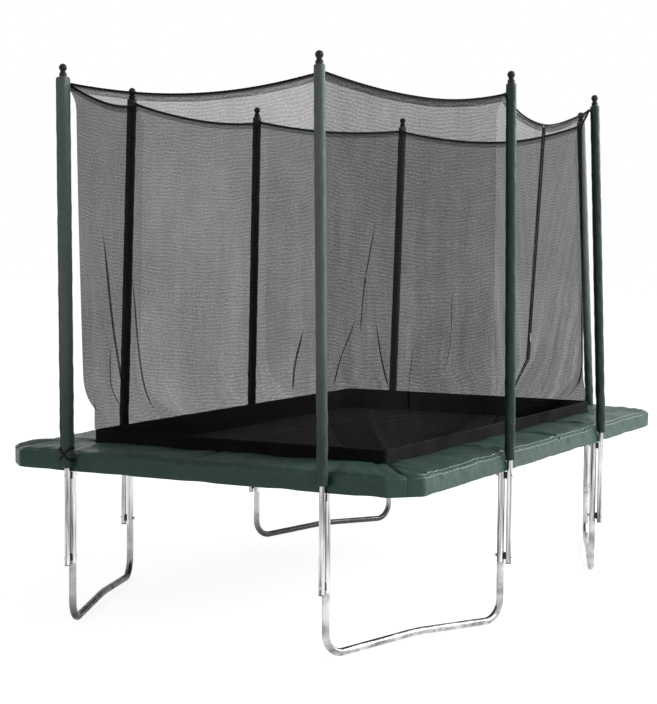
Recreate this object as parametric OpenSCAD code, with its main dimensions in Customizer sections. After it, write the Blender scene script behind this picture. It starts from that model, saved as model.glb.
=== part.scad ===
// Rectangular garden trampoline with a safety enclosure.
// Origin: ground level under the centre. +X across the short way, +Y along the long way, +Z up.
// The zip door is in the long side at +X. All sizes are millimetres.

/* [Mat frame] */
// Distance between the centre lines of the two long rails
frame_width = 2200; // [2000:10:2500]
// Distance between the centre lines of the two end rails
frame_length = 3560; // [3200:10:4200]
// Height of the rail centre line above the ground
rail_height = 784; // [700:2:900]
// Outside diameter of the rail tube
rail_d = 42; // [38:1:46]
// Wall of the rail tube
rail_wall = 1.5; // [1.2:0.1:2]
// Bend radius of the frame corners, on the centre line
corner_r = 210; // [190:5:240]
// Straight end on each side of a corner bend
corner_leg = 60; // [50:5:80]
// Distance between the two posts on an end rail
end_post_gap = 1390; // [1200:10:1500]
// Distance between the two posts on a long rail
side_post_gap = 1400; // [1200:10:1800]

/* [Legs] */
// Outside diameter of the leg tube
leg_d = 36; // [32:1:38]
// Wall of the leg tube
leg_wall = 1.5; // [1.2:0.1:2]
// Height of the seam between the leg base and its uprights
leg_seam = 300; // [260:5:380]
// Bend radius of the leg base, on the centre line
base_bend_r = 100; // [80:5:130]
// Slope of a ground bar up from its ends towards its middle, in degrees
base_rise = 2.7; // [2:0.1:4]
// Radius of the bow in the middle of a ground bar
base_bow_r = 1500; // [1000:50:2500]
// Depth of the worn flat where a base rests on the ground
ground_flat = 0.5; // [0.3:0.1:0.8]
// Length of the swaged end of a base inside its upright
base_spigot = 60; // [50:5:90]
// Length of the stub under the rail that an upright slides onto
rail_spigot = 120; // [90:5:150]

/* [Net poles] */
// Overall height to the top of the pole caps
overall_height = 2700; // [2500:10:2900]
// Outside diameter of the pole tube
pole_d = 28; // [25:1:30]
// Wall of the pole tube
pole_wall = 1.5; // [1.2:0.1:2]
// Length of a pole below its lower clamp bolt
pole_tail = 33; // [25:1:60]
// Outside diameter of the padded sleeve
sleeve_d = 53; // [46:1:56]
// Thickness of the sleeve cover
sleeve_cover = 1.2; // [0.8:0.1:2]
// Diameter of the ball on a pole cap
cap_ball_d = 38; // [28:1:40]
// Diameter of the neck of a pole cap
cap_neck_d = 26; // [20:1:28]
// Diameter of the collar at the foot of a pole cap
cap_collar_d = 36; // [30:1:40]
// Distance from the top of a cap down to the top of the tube
cap_height = 60; // [50:1:80]

/* [Clamp bolts] */
// Distance from the rail centre line down to the upper clamp bolts
upper_bolt_drop = 52; // [49:1:69]
// Height of the lower clamp bolts above the seam of the leg
lower_bolt_rise = 32; // [26:1:40]
// Diameter of the bolt shank
bolt_d = 8; // [6:1:9]
// Height of the spacer block between leg and pole
spacer_h = 32; // [24:1:34]
// Width of the spacer block
spacer_w = 22; // [18:1:26]

/* [Mat] */
// Gap between a rail's centre line and the edge of the mat, taken up by the springs
spring_gap = 185; // [170:1:220]
// Distance between neighbouring springs
spring_pitch = 125; // [110:5:150]
// Outside diameter of a spring
spring_d = 20; // [16:1:24]
// Diameter of the spring wire
wire_d = 4; // [3:0.5:4.5]
// Thickness of the woven mat
mat_t = 2.5; // [1.5:0.5:4]
// Width of the webbing sewn along the edge of the mat
webbing_w = 40; // [30:2:50]
// Thickness of the webbing
webbing_t = 2.5; // [1.5:0.5:4]
// Radius of the mat corners
mat_corner_r = 60; // [40:5:90]

/* [Pad] */
// Thickness of the foam pad at its edges
pad_t = 39; // [25:1:50]
// Extra height of the pad's crown
pad_crown = 6; // [2:1:12]
// Width that the pad covers on a long side
side_pad_w = 306; // [270:2:330]
// Width that the pad covers at an end
end_pad_w = 376; // [340:2:400]
// Length of the skirt below the underside of the pad
skirt_drop = 53; // [35:1:58]
// Thickness of the skirt
skirt_t = 4; // [2:0.5:5]
// Cut across the outer corners of the pad
pad_corner_cut = 130; // [80:5:135]
// Depth of the seams sewn across the pad
pad_seam_depth = 8; // [4:1:12]

/* [Net] */
// Thickness of the net
net_t = 3; // [2:0.5:4]
// Diameter of the rope in the net's top hem
rope_d = 10; // [6:1:12]
// Height at which the net starts to slope in to its foot
net_waist = 1250; // [1150:10:1400]
// Distance that the slack net falls inward from the poles below its rope
net_slack = 42; // [20:1:60]
// Height of the solid band at the foot of the net
foot_band_h = 123; // [90:1:150]
// Depth of the main folds of the net
fold_depth = 10; // [4:1:14]

/* [Zip door] */
// Width of one zip tape
zip_tape_w = 13; // [10:1:18]
// Thickness of a zip tape
zip_tape_t = 1.6; // [1:0.1:2]
// Width of one row of zip teeth
zip_teeth_w = 2; // [1.5:0.1:2.5]
// Thickness of the zip teeth
zip_teeth_t = 3; // [2.5:0.1:4]
// Length of the zip slider
slider_len = 24; // [18:1:30]
// Length of the pull tab
tab_len = 34; // [26:1:40]
// Share of the zip's length that lies below the slider at rest
slider_rest = 0.10; // [0.05:0.01:0.5]

/* [Hidden] */

$fn = 48;

// Clearances
seat = 0.3;        // soft or loose pieces lie this far from what carries them
slip = 0.3;        // radial clearance of a swaged tube end
hole_slack = 0.2;  // radial clearance of a bolt in its holes
edge = 0.01;       // overrun of cutting shapes

// Plan of the posts, counter-clockwise from the left post of the near end
half_w = frame_width / 2;
half_l = frame_length / 2;
end_x = end_post_gap / 2;
side_y = side_post_gap / 2;
post = [
    [-end_x, -half_l], [end_x, -half_l], [half_w, -side_y], [half_w, side_y],
    [end_x, half_l], [-end_x, half_l], [-half_w, side_y], [-half_w, -side_y]
];
out_angle = [-90, -90, 0, 0, 90, 90, 180, 180];
posts = [0:7];

// Radii and levels that several pieces share
rail_r = rail_d / 2;
leg_r = leg_d / 2;
pole_r = pole_d / 2;
sleeve_r = sleeve_d / 2;
bolt_r = bolt_d / 2;
skirt_slack = 1.4;
pole_offset = rail_r + skirt_t + 2 * skirt_slack + pole_r + seat;
rail_top = rail_height + rail_r;
upper_bolt_z = rail_height - upper_bolt_drop;
lower_bolt_z = leg_seam + lower_bolt_rise;
pole_end = lower_bolt_z - pole_tail;
pad_under = rail_top + seat;
pole_joint = rail_top + 1;
sleeve_foot = 6;
leg_bore_r = leg_r - leg_wall;
pole_bore_r = pole_r - pole_wall;

// How far each pole leans at the height of its cap, as the tight net pulls it
pole_lean = [[-11, -14], [-25, -14], [-22, -5], [-68, -18], [-91, -12], [48, 14], [27, 6], [40, 22]];
// Height of the net rope at each pole below the top of the caps
rope_drop = [89, 89, 112, 85, 89, 89, 95, 92];
// For each span of the rope: sag, place of its lowest point, and how sharply it falls
rope_sag = [
    [72, 0.50, 2], [60, 0.58, 2], [112, 0.52, 1.8], [40, 0.50, 2],
    [92, 0.42, 2], [34, 0.52, 2], [44, 0.50, 2], [46, 0.50, 2]
];

function mix(a, b, t) = a + (b - a) * t;
function clamp01(t) = min(1, max(0, t));
function outward(i) = [cos(out_angle[i]), sin(out_angle[i])];
function pole_xy(i) = post[i] + outward(i) * pole_offset;
function lean_rise() = overall_height - pole_joint;
function lean_angle(i) = atan2(norm(pole_lean[i]), lean_rise());
// The pole's centre line at height z, straight up to the joint and leaning above it
function pole_at(i, z) = pole_xy(i) + pole_lean[i] * max(0, (z - pole_joint) / lean_rise());

// Moves its children to a post, with +X pointing out of the frame
module at_post(i) {
    translate([post[i].x, post[i].y, 0])
        rotate([0, 0, out_angle[i]])
            children();
}

// Moves its children to a pole's joint, with +Z along the leaning upper pole
module at_upper_pole(i) {
    lean = pole_lean[i];
    translate([pole_xy(i).x, pole_xy(i).y, pole_joint])
        rotate(a = lean_angle(i), v = [-lean.y, lean.x, 0])
            children();
}

module ring(r_out, r_in) {
    difference() {
        circle(r_out);
        circle(r_in);
    }
}

module tube(r_out, r_in, length) {
    difference() {
        cylinder(r = r_out, h = length);
        translate([0, 0, -edge])
            cylinder(r = r_in, h = length + 2 * edge);
    }
}

// ---------------------------------------------------------------- mat frame
rail_bore_r = rail_r - rail_wall;
swage_r = rail_bore_r - slip;
swage_len = 50;
joint_gap = seat;
side_rail_end = half_l - corner_r - corner_leg;
end_rail_end = half_w - corner_r - corner_leg;
hook_hole_r = wire_d / 2 + 0.8;
spring_margin = swage_len + 20;
leg_hole_r = bolt_r + hole_slack;

// Spring places along a rail, mirrored about its middle and clear of the swaged ends
function side_springs() = [
    for (y = [spring_pitch / 2 : spring_pitch : side_rail_end - spring_margin])
        for (s = [-1, 1]) s * y
];
function end_springs() = concat([0], [
    for (x = [spring_pitch : spring_pitch : end_rail_end - spring_margin])
        for (s = [-1, 1]) s * x
]);

// Stub under the rail that a leg upright slides onto
module spigot_outer(i) {
    translate([post[i].x, post[i].y, rail_height - rail_r - rail_spigot])
        cylinder(r = leg_bore_r - slip, h = rail_spigot + rail_r);
}

module spigot_cuts(i) {
    translate([post[i].x, post[i].y, rail_height - rail_r - rail_spigot - edge])
        cylinder(r = leg_bore_r - slip - leg_wall, h = rail_spigot - 1);
    at_post(i)
        translate([-leg_r, 0, upper_bolt_z])
            rotate([0, 90, 0])
                cylinder(r = leg_hole_r, h = leg_d);
}

// One half of a long rail, from the middle joint to the corner
module half_side_rail(side, dir) {
    i = side > 0 ? (dir < 0 ? 2 : 3) : (dir > 0 ? 6 : 7);
    start = joint_gap / 2;
    length = side_rail_end - start;
    difference() {
        union() {
            translate([side * half_w, dir * start, rail_height])
                rotate([-90 * dir, 0, 0])
                    cylinder(r = rail_r, h = length);
            spigot_outer(i);
            if (dir > 0)
                translate([side * half_w, start - swage_len, rail_height])
                    rotate([-90, 0, 0])
                        cylinder(r = swage_r, h = swage_len + 1);
        }
        translate([side * half_w, dir * (start + (dir > 0 ? 2 : -1)), rail_height])
            rotate([-90 * dir, 0, 0])
                cylinder(r = rail_bore_r, h = length + 2);
        if (dir > 0)
            translate([side * half_w, start - swage_len - 1, rail_height])
                rotate([-90, 0, 0])
                    cylinder(r = swage_r - rail_wall, h = swage_len + 4);
        spigot_cuts(i);
        for (y = side_springs())
            if (y * dir > 0)
                translate([side * (half_w - rail_r - 2), y, rail_height])
                    rotate([0, 90 * side, 0])
                        cylinder(r = hook_hole_r, h = rail_r, $fn = 16);
    }
}

module side_rails() {
    color("silver")
        for (side = [-1, 1])
            for (dir = [-1, 1])
                half_side_rail(side, dir);
}

module end_rails() {
    color("silver")
        for (dir = [-1, 1])
            difference() {
                union() {
                    translate([-end_rail_end, dir * half_l, rail_height])
                        rotate([0, 90, 0])
                            cylinder(r = rail_r, h = 2 * end_rail_end);
                    spigot_outer(dir < 0 ? 0 : 4);
                    spigot_outer(dir < 0 ? 1 : 5);
                }
                translate([-end_rail_end - 1, dir * half_l, rail_height])
                    rotate([0, 90, 0])
                        cylinder(r = rail_bore_r, h = 2 * end_rail_end + 2);
                spigot_cuts(dir < 0 ? 0 : 4);
                spigot_cuts(dir < 0 ? 1 : 5);
                for (x = end_springs())
                    translate([x, dir * (half_l - rail_r - 2), rail_height])
                        rotate([-90 * dir, 0, 0])
                            cylinder(r = hook_hole_r, h = rail_r, $fn = 16);
            }
}

// A quarter bend with straight ends, swaged to slide into both rails
module corner_bend() {
    leg = corner_leg - joint_gap;
    difference() {
        union() {
            rotate_extrude(angle = 90, $fn = 96)
                translate([corner_r, 0])
                    circle(rail_r);
            for (a = [0, 90])
                rotate([0, 0, a])
                    mirror([0, a / 90, 0])
                        translate([corner_r, 0, 0])
                            rotate([90, 0, 0]) {
                                cylinder(r = rail_r, h = leg);
                                cylinder(r = swage_r, h = leg + swage_len);
                            }
        }
        rotate_extrude(angle = 90, $fn = 96)
            translate([corner_r, 0])
                circle(swage_r - rail_wall);
        for (a = [0, 90])
            rotate([0, 0, a])
                mirror([0, a / 90, 0])
                    translate([corner_r, 0, 0])
                        rotate([90, 0, 0])
                            cylinder(r = swage_r - rail_wall, h = leg + swage_len + 1);
    }
}

module corner_bends() {
    color("silver")
        for (x = [-1, 1])
            for (y = [-1, 1])
                mirror([x < 0 ? 1 : 0, 0, 0])
                    mirror([0, y < 0 ? 1 : 0, 0])
                        translate([half_w - corner_r, half_l - corner_r, rail_height])
                            corner_bend();
}

// ---------------------------------------------------------------- legs
upright_top = rail_height - rail_r - seat;

module bolt_hole_through_leg(z) {
    translate([-leg_r - 1, 0, z])
        rotate([0, 90, 0])
            cylinder(r = leg_hole_r, h = leg_d + 2);
}

module leg_uprights() {
    color("gainsboro")
        for (i = posts)
            at_post(i)
                difference() {
                    translate([0, 0, leg_seam])
                        tube(leg_r, leg_bore_r, upright_top - leg_seam);
                    bolt_hole_through_leg(upper_bolt_z);
                    bolt_hole_through_leg(lower_bolt_z);
                }
}

// A base as solid rod of radius r between posts d apart: upright, bend, a straight run that
// rises towards the middle, and a long bow there. The runs are a hair thinner and reach into
// the bends, so that no two round surfaces coincide.
module base_rod(r, d) {
    zc = base_bend_r + leg_r - ground_flat;
    reach = base_bend_r * (1 + sin(base_rise));
    run = (d / 2 - reach - base_bow_r * sin(base_rise)) / cos(base_rise);
    bow_z = zc - (base_bend_r + base_bow_r) * cos(base_rise) + run * sin(base_rise);
    for (m = [0, 1])
        translate([m * d, 0, 0])
            mirror([m, 0, 0]) {
                translate([0, 0, zc])
                    cylinder(r = r, h = leg_seam - seat - zc);
                translate([base_bend_r, 0, zc])
                    rotate([90, 0, 0])
                        rotate([0, 0, 180])
                            rotate_extrude(angle = 90 + base_rise, $fn = 144)
                                translate([base_bend_r, 0])
                                    circle(r);
                translate([reach, 0, zc - base_bend_r * cos(base_rise)])
                    rotate([0, 90 - base_rise, 0])
                        translate([0, 0, -2])
                            cylinder(r = r - 0.3, h = run + 4);
            }
    translate([d / 2, 0, bow_z])
        rotate([90, 0, 0])
            rotate([0, 0, 90 - base_rise])
                rotate_extrude(angle = 2 * base_rise, $fn = 480)
                    translate([base_bow_r, 0])
                        circle(r);
}

module leg_base(a, b) {
    d = norm(post[b] - post[a]);
    along = atan2(post[b].y - post[a].y, post[b].x - post[a].x);
    spigot_r = leg_bore_r - slip;
    color("gainsboro")
        difference() {
            translate([post[a].x, post[a].y, 0])
                rotate([0, 0, along])
                    difference() {
                        union() {
                            base_rod(leg_r, d);
                            for (x = [0, d])
                                translate([x, 0, leg_seam - 20])
                                    cylinder(r = spigot_r, h = base_spigot + 20);
                        }
                        base_rod(spigot_r - leg_wall, d);
                        for (x = [0, d])
                            translate([x, 0, leg_seam - 21])
                                cylinder(r = spigot_r - leg_wall - 0.05, h = base_spigot + 30);
                        translate([-leg_r - 1, -leg_r - 1, -leg_d])
                            cube([d + leg_d + 2, leg_d + 2, leg_d]);
                    }
            for (i = [a, b])
                at_post(i)
                    bolt_hole_through_leg(lower_bolt_z);
        }
}

module leg_base_near_left() leg_base(7, 0);
module leg_base_near_right() leg_base(1, 2);
module leg_base_far_right() leg_base(3, 4);
module leg_base_far_left() leg_base(5, 6);

// ---------------------------------------------------------------- net poles
neck_len = 18;
tube_top_z = overall_height - cap_height;
function up(i, z) = (z - pole_joint) / cos(lean_angle(i));

module pole_lower_tubes() {
    color("gainsboro")
        for (i = posts)
            at_post(i)
                difference() {
                    translate([pole_offset, 0, pole_end])
                        tube(pole_r, pole_bore_r, pole_joint - pole_end);
                    for (z = [upper_bolt_z, lower_bolt_z])
                        translate([pole_offset - pole_r - 1, 0, z])
                            rotate([0, 90, 0])
                                cylinder(r = leg_hole_r, h = pole_d + 2);
                }
}

// Each upper tube has a short swaged neck in the tube below it
module pole_upper_tubes() {
    color("gainsboro")
        for (i = posts) {
            foot = seat + pole_r * sin(lean_angle(i));
            neck_r = pole_bore_r - 1.4;
            at_upper_pole(i)
                difference() {
                    union() {
                        translate([0, 0, foot])
                            cylinder(r = pole_r, h = up(i, tube_top_z) - foot);
                        translate([0, 0, foot - neck_len])
                            cylinder(r = neck_r, h = neck_len + 2);
                    }
                    translate([0, 0, foot - neck_len - 1])
                        cylinder(r = neck_r - pole_wall, h = neck_len + 8);
                    translate([0, 0, foot + 4])
                        cylinder(r = pole_bore_r, h = up(i, overall_height));
                }
        }
}

module pole_foam() {
    color("dimgray")
        for (i = posts)
            at_upper_pole(i)
                translate([0, 0, sleeve_foot + sleeve_cover + seat])
                    tube(
                        sleeve_r - sleeve_cover - seat,
                        pole_r + seat,
                        up(i, tube_top_z) - sleeve_foot - 2 * sleeve_cover - 2 * seat - 2
                    );
}

// A sewn cover with a turned-in hem at each end
module pole_sleeves() {
    color([0.12, 0.22, 0.18])
        for (i = posts) {
            length = up(i, tube_top_z) - sleeve_foot - 2;
            at_upper_pole(i)
                translate([0, 0, sleeve_foot])
                    rotate_extrude()
                        difference() {
                            translate([pole_r + seat, 0])
                                square([sleeve_r - pole_r - seat, length]);
                            translate([0, sleeve_cover])
                                square([sleeve_r - sleeve_cover, length - 2 * sleeve_cover]);
                        }
        }
}

module pole_caps() {
    ball_r = cap_ball_d / 2;
    collar_h = 14;
    color([0.05, 0.05, 0.06])
        for (i = posts) {
            top = up(i, tube_top_z) + 0.1;
            ball = up(i, overall_height - ball_r);
            at_upper_pole(i) {
                translate([0, 0, top - 25])
                    cylinder(r = pole_bore_r - slip, h = 25);
                translate([0, 0, top])
                    cylinder(r = cap_collar_d / 2, h = collar_h);
                translate([0, 0, top + collar_h])
                    cylinder(r1 = cap_collar_d / 2 - 1, r2 = cap_neck_d / 2, h = 5);
                translate([0, 0, top + collar_h + 5])
                    cylinder(r = cap_neck_d / 2, h = ball - top - collar_h - 5);
                translate([0, 0, ball])
                    sphere(ball_r);
            }
        }
}

module pole_end_plugs() {
    color([0.08, 0.08, 0.09])
        for (i = posts)
            at_post(i)
                translate([pole_offset, 0, pole_end]) {
                    translate([0, 0, -4])
                        cylinder(r = pole_r, h = 4 - 0.1);
                    translate([0, 0, -1])
                        cylinder(r = pole_bore_r - slip, h = 18);
                }
}

// ---------------------------------------------------------------- clamp bolts
head_h = 5;
nut_h = 6.5;
washer_t = 1.6;
bolt_from = -leg_r - washer_t - nut_h - 4;
bolt_to = pole_offset + pole_r + 0.1;

// A round-headed bolt through the leg, the spacer and the pole
module clamp_bolts(z) {
    color([0.75, 0.76, 0.78])
        for (i = posts)
            at_post(i)
                translate([0, 0, z])
                    rotate([0, 90, 0]) {
                        translate([0, 0, bolt_from])
                            cylinder(r = bolt_r, h = bolt_to - bolt_from);
                        translate([0, 0, bolt_to])
                            cylinder(r = 2 * bolt_r, h = 1.5);
                        translate([0, 0, bolt_to + 1.5])
                            cylinder(r1 = 2 * bolt_r, r2 = bolt_r, h = head_h - 1.5);
                    }
}

module clamp_washers(z) {
    color([0.7, 0.7, 0.72])
        for (i = posts)
            at_post(i)
                translate([-leg_r - 0.1 - washer_t, 0, z])
                    rotate([0, 90, 0])
                        tube(2 * bolt_r + 1, bolt_r + hole_slack, washer_t);
}

module clamp_nuts(z) {
    color([0.7, 0.7, 0.72])
        for (i = posts)
            at_post(i)
                translate([-leg_r - 0.2 - washer_t - nut_h, 0, z])
                    rotate([0, 90, 0])
                        difference() {
                            cylinder(r = 2 * bolt_r - 0.5, h = nut_h, $fn = 6);
                            translate([0, 0, -edge])
                                cylinder(r = bolt_r + 0.05, h = nut_h + 1);
                        }
}

// A moulded block, hollowed to seat on both tubes
module clamp_spacers(z) {
    color([0.06, 0.06, 0.07])
        for (i = posts)
            at_post(i)
                difference() {
                    translate([leg_r - 4, -spacer_w / 2, z - spacer_h / 2])
                        cube([pole_offset - pole_r - leg_r + 8, spacer_w, spacer_h]);
                    translate([0, 0, z - spacer_h])
                        cylinder(r = leg_r + 0.1, h = 2 * spacer_h);
                    translate([pole_offset, 0, z - spacer_h])
                        cylinder(r = pole_r + 0.1, h = 2 * spacer_h);
                    translate([0, 0, z])
                        rotate([0, 90, 0])
                            cylinder(r = leg_hole_r, h = pole_offset);
                }
}

module upper_bolts() clamp_bolts(upper_bolt_z);
module lower_bolts() clamp_bolts(lower_bolt_z);
module upper_nuts() clamp_nuts(upper_bolt_z);
module lower_nuts() clamp_nuts(lower_bolt_z);
module upper_washers() clamp_washers(upper_bolt_z);
module lower_washers() clamp_washers(lower_bolt_z);
module upper_spacers() clamp_spacers(upper_bolt_z);
module lower_spacers() clamp_spacers(lower_bolt_z);

// ---------------------------------------------------------------- mat and springs
wire_r = wire_d / 2;
mat_half_w = half_w - spring_gap;
mat_half_l = half_l - spring_gap;
mat_under = rail_height + wire_r + seat;
mat_top = mat_under + mat_t;
ring_reach = 32;   // from the mat's edge to the outer end of a V-ring
ring_root = 22;    // from the mat's edge in to the sewn bar of a V-ring
hook_reach = ring_reach - wire_d - wire_r - 0.5;
hook_up = wire_d + seat;   // the hook passes over the ring's outer bar

// A spring as its outer cylinder, with a straight hook end in the rail and a pin in its V-ring.
// It lies along +X from the mat's edge at x = 0 to the rail's centre line at x = spring_gap.
module spring() {
    coil_from = hook_reach + 8;
    coil_to = spring_gap - rail_r - 8;
    translate([coil_from, 0, 0])
        rotate([0, 90, 0])
            cylinder(r = spring_d / 2, h = coil_to - coil_from, $fn = 24);
    translate([coil_to - 1, 0, 0])
        rotate([0, 90, 0])
            cylinder(r = wire_r, h = 1 + 8 + rail_wall + 7, $fn = 16);
    translate([hook_reach, 0, hook_up])
        rotate([0, 90, 0])
            cylinder(r = wire_r, h = coil_from - hook_reach + 1, $fn = 16);
    translate([hook_reach, 0, -wire_d - 2])
        cylinder(r = wire_r, h = wire_d + 2 + hook_up, $fn = 16);
}

// Places its children along both ends (dir) or both long sides (side) of the mat
module along_end(dir) {
    for (x = end_springs())
        translate([x, dir * mat_half_l, rail_height])
            rotate([0, 0, 90 * dir])
                children();
}

module along_side(side) {
    for (y = side_springs())
        translate([side * mat_half_w, y, rail_height])
            rotate([0, 0, 90 - 90 * side])
                children();
}

module springs_near() color([0.6, 0.61, 0.63]) along_end(-1) spring();
module springs_far() color([0.6, 0.61, 0.63]) along_end(1) spring();
module springs_left() color([0.6, 0.61, 0.63]) along_side(-1) spring();
module springs_right() color([0.6, 0.61, 0.63]) along_side(1) spring();

// A flat ring bent from wire: wide where it is sewn to the mat, narrow at the hook
module v_ring() {
    wide = 22;
    narrow = 9;
    translate([0, 0, -wire_r])
        linear_extrude(wire_d)
            difference() {
                polygon([
                    [-ring_root, -wide], [ring_reach, -narrow],
                    [ring_reach, narrow], [-ring_root, wide]
                ]);
                polygon([
                    [wire_d - ring_root, wire_d + 2 - wide], [ring_reach - wire_d, wire_d - narrow],
                    [ring_reach - wire_d, narrow - wire_d], [wire_d - ring_root, wide - wire_d - 2]
                ]);
            }
}

module v_rings() {
    color([0.7, 0.71, 0.73]) {
        for (dir = [-1, 1])
            along_end(dir) v_ring();
        for (side = [-1, 1])
            along_side(side) v_ring();
    }
}

module round_rect(hx, hy, r) {
    union() {
        square([2 * (hx - r), 2 * hy], center = true);
        square([2 * hx, 2 * (hy - r)], center = true);
        for (x = [-1, 1])
            for (y = [-1, 1])
                translate([x * (hx - r), y * (hy - r)])
                    circle(r);
    }
}

module mat_sheet() {
    color([0.1, 0.1, 0.105])
        translate([0, 0, mat_under])
            linear_extrude(mat_t)
                round_rect(mat_half_w, mat_half_l, mat_corner_r);
}

module mat_webbing() {
    color([0.06, 0.06, 0.065])
        translate([0, 0, mat_top + seat])
            linear_extrude(webbing_t)
                difference() {
                    round_rect(mat_half_w, mat_half_l, mat_corner_r);
                    round_rect(
                        mat_half_w - webbing_w,
                        mat_half_l - webbing_w,
                        mat_corner_r - webbing_w / 2
                    );
                }
}

// ---------------------------------------------------------------- pad
pad_half_w = half_w + rail_r + skirt_slack + skirt_t;
pad_half_l = half_l + rail_r + skirt_slack + skirt_t;
inner_w = pad_half_w - side_pad_w;
inner_l = pad_half_l - end_pad_w;
band_gap = 1.5;
foot_w = inner_w - band_gap;
foot_l = inner_l - band_gap;

// Solid fabric walls that stand on the mat, joined at the corners, one for each side
module net_foot_band() {
    color([0.08, 0.08, 0.085])
        translate([0, 0, mat_top + seat]) {
            for (x = [-foot_w, foot_w - net_t])
                translate([x, -foot_l, 0])
                    cube([net_t, 2 * foot_l, foot_band_h]);
            for (y = [-foot_l, foot_l - net_t])
                translate([net_t + seat - foot_w, y, 0])
                    cube([2 * (foot_w - net_t - seat), net_t, foot_band_h]);
        }
}

// Closed solid through a list of rings with equally many points. Each end is capped with
// triangles from the ring's last point, from which the whole outline can be seen.
module loft(rings) {
    n = len(rings[0]);
    m = len(rings);
    points = [for (r = rings) for (p = r) p];
    walls = [
        for (k = [0 : m - 2])
            for (j = [0 : n - 1])
                let (a = k * n + j, b = k * n + (j + 1) % n)
                    for (f = [[a, b + n, b], [a, a + n, b + n]]) f
    ];
    first_cap = [for (j = [0 : n - 3]) [n - 1, j, j + 1]];
    last_cap = [for (j = [0 : n - 3]) [m * n - 1, (m - 1) * n + j + 1, (m - 1) * n + j]];
    polyhedron(points, concat(walls, first_cap, last_cap));
}

rim_r = 20;        // rounding of the pad's outer top edge
pad_gap = 0.6;     // open gap at the mitred corners

// Outline of the pad across its width: [distance in from the outer edge, height above
// the underside, share of the pole dent that moves it, share of a sewn seam that sinks it]
function pad_profile(w) = [
    [w, 0, 0, 0],
    [w - 3, pad_t * 0.5, 0, 0.2],
    [w - 5, pad_t - 5, 0, 0.6],
    [w - 14, pad_t, 0, 1],
    [w * 0.72, pad_t + pad_crown * 0.8, 0, 1],
    [w * 0.48, pad_t + pad_crown, 0, 1],
    [w * 0.25, pad_t + pad_crown * 0.7, 0, 1],
    [rim_r, pad_t - 1, 1, 1],
    [rim_r * 0.3, pad_t - rim_r * 0.35, 1, 0.8],
    [0, pad_t - rim_r, 1, 0.4],
    [0, 3, 1, 0.2],
    [0, -10, 0, 0],
    [0, -skirt_drop, 0, 0],
    [skirt_t, -skirt_drop, 0, 0],
    [skirt_t, 0, 0, 0]
];

// Dent that a padded pole makes in the rim, at distance d along it
dent_depth = max(0, pad_half_w - half_w - pole_offset + sleeve_r + 4);
dent_half = sleeve_r + 24;
function dent(d) = abs(d) > dent_half ? 0 : dent_depth * (0.5 + 0.5 * cos(180 * d / dent_half)) ^ 0.5;
function seam(d) = abs(d) > 10 ? 0 : pad_seam_depth;

// Stations along one side: a few along the open stretches, more at poles and seams
function near_list(c, steps) = [for (s = steps) c + s];
pole_steps = [-dent_half, -40, -26, -12, 12, 26, 40, dent_half];
seam_steps = [-26, -9, 0, 9, 26];

// One section of the pad from its inner point a to its outer point b, in plan
function pad_section(a, b, w, dent_mm, seam_mm, mirror_turn) =
    let (
        length = norm(b - a),
        dir = (a - b) / length,
        ring_points = [
            for (p = pad_profile(w))
                let (
                    u = p[0] * length / w + p[2] * dent_mm,
                    q = b + dir * (p[0] <= skirt_t ? p[0] + p[2] * dent_mm : min(u, length))
                )
                    [q.x, q.y, pad_under + p[1] - p[3] * seam_mm]
        ]
    )
        mirror_turn ? [for (k = [len(ring_points) - 1 : -1 : 0]) ring_points[k]] : ring_points;

// One side of the pad in its own frame: it runs along +Y, outside is +X.
// hx, hy: outer half sizes; w: its own width; w2: the width of the pad round the corner
function pad_rings(hx, hy, w, w2, poles, seams) =
    let (
        inner_y = hy - w2 - pad_gap,
        cut = pad_corner_cut,
        slope = w2 / w,
        corner_y = hy - cut * slope / (1 + slope) - pad_gap,
        stations = concat(
            [for (y = [-inner_y + 60, inner_y - 60]) y],
            [for (c = poles) each near_list(c, pole_steps)],
            [for (c = seams) each near_list(c, seam_steps)]
        ),
        sorted = sort_up([for (y = stations) if (abs(y) <= inner_y - 60) y]),
        ends = [0.12, 0.3, 0.5, 0.75, 1],
        fan = [
            for (t = ends)
                let (
                    y_in = inner_y * t + (inner_y - 60) * (1 - t),
                    y_out = corner_y * t + (inner_y - 60) * (1 - t),
                    x_out = hx - max(0, y_out - (hy - cut))
                )
                    [[hx - w, y_in], [x_out, y_out]]
        ]
    )
        concat(
            [for (k = [len(fan) - 1 : -1 : 0])
                pad_section(
                    [fan[k][0].x, -fan[k][0].y], [fan[k][1].x, -fan[k][1].y], w, 0, 0, false)],
            [for (y = sorted)
                pad_section([hx - w, y], [hx, y], w,
                    max([for (c = poles) dent(y - c)]),
                    max([for (c = seams) seam(y - c)]), false)],
            [for (f = fan) pad_section(f[0], f[1], w, 0, 0, false)]
        );

function sort_up(v) =
    len(v) <= 1 ? v :
    let (
        pivot = v[floor(len(v) / 2)],
        low = [for (x = v) if (x < pivot - 3) x],
        high = [for (x = v) if (x > pivot + 3) x]
    )
        concat(sort_up(low), [pivot], sort_up(high));

module pad_side() {
    loft(pad_rings(pad_half_w, pad_half_l, side_pad_w, end_pad_w,
        [-side_y, side_y], [-side_y + 50, 60, side_y - 50]));
}

module pad_end() {
    loft(pad_rings(pad_half_l, pad_half_w, end_pad_w, side_pad_w,
        [-end_x, end_x], [-60]));
}

module pad_right() color([0.25, 0.37, 0.32]) pad_side();
module pad_left() color([0.25, 0.37, 0.32]) rotate([0, 0, 180]) pad_side();
module pad_far() color([0.22, 0.34, 0.29]) rotate([0, 0, 90]) pad_end();
module pad_near() color([0.22, 0.34, 0.29]) rotate([0, 0, -90]) pad_end();

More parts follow.
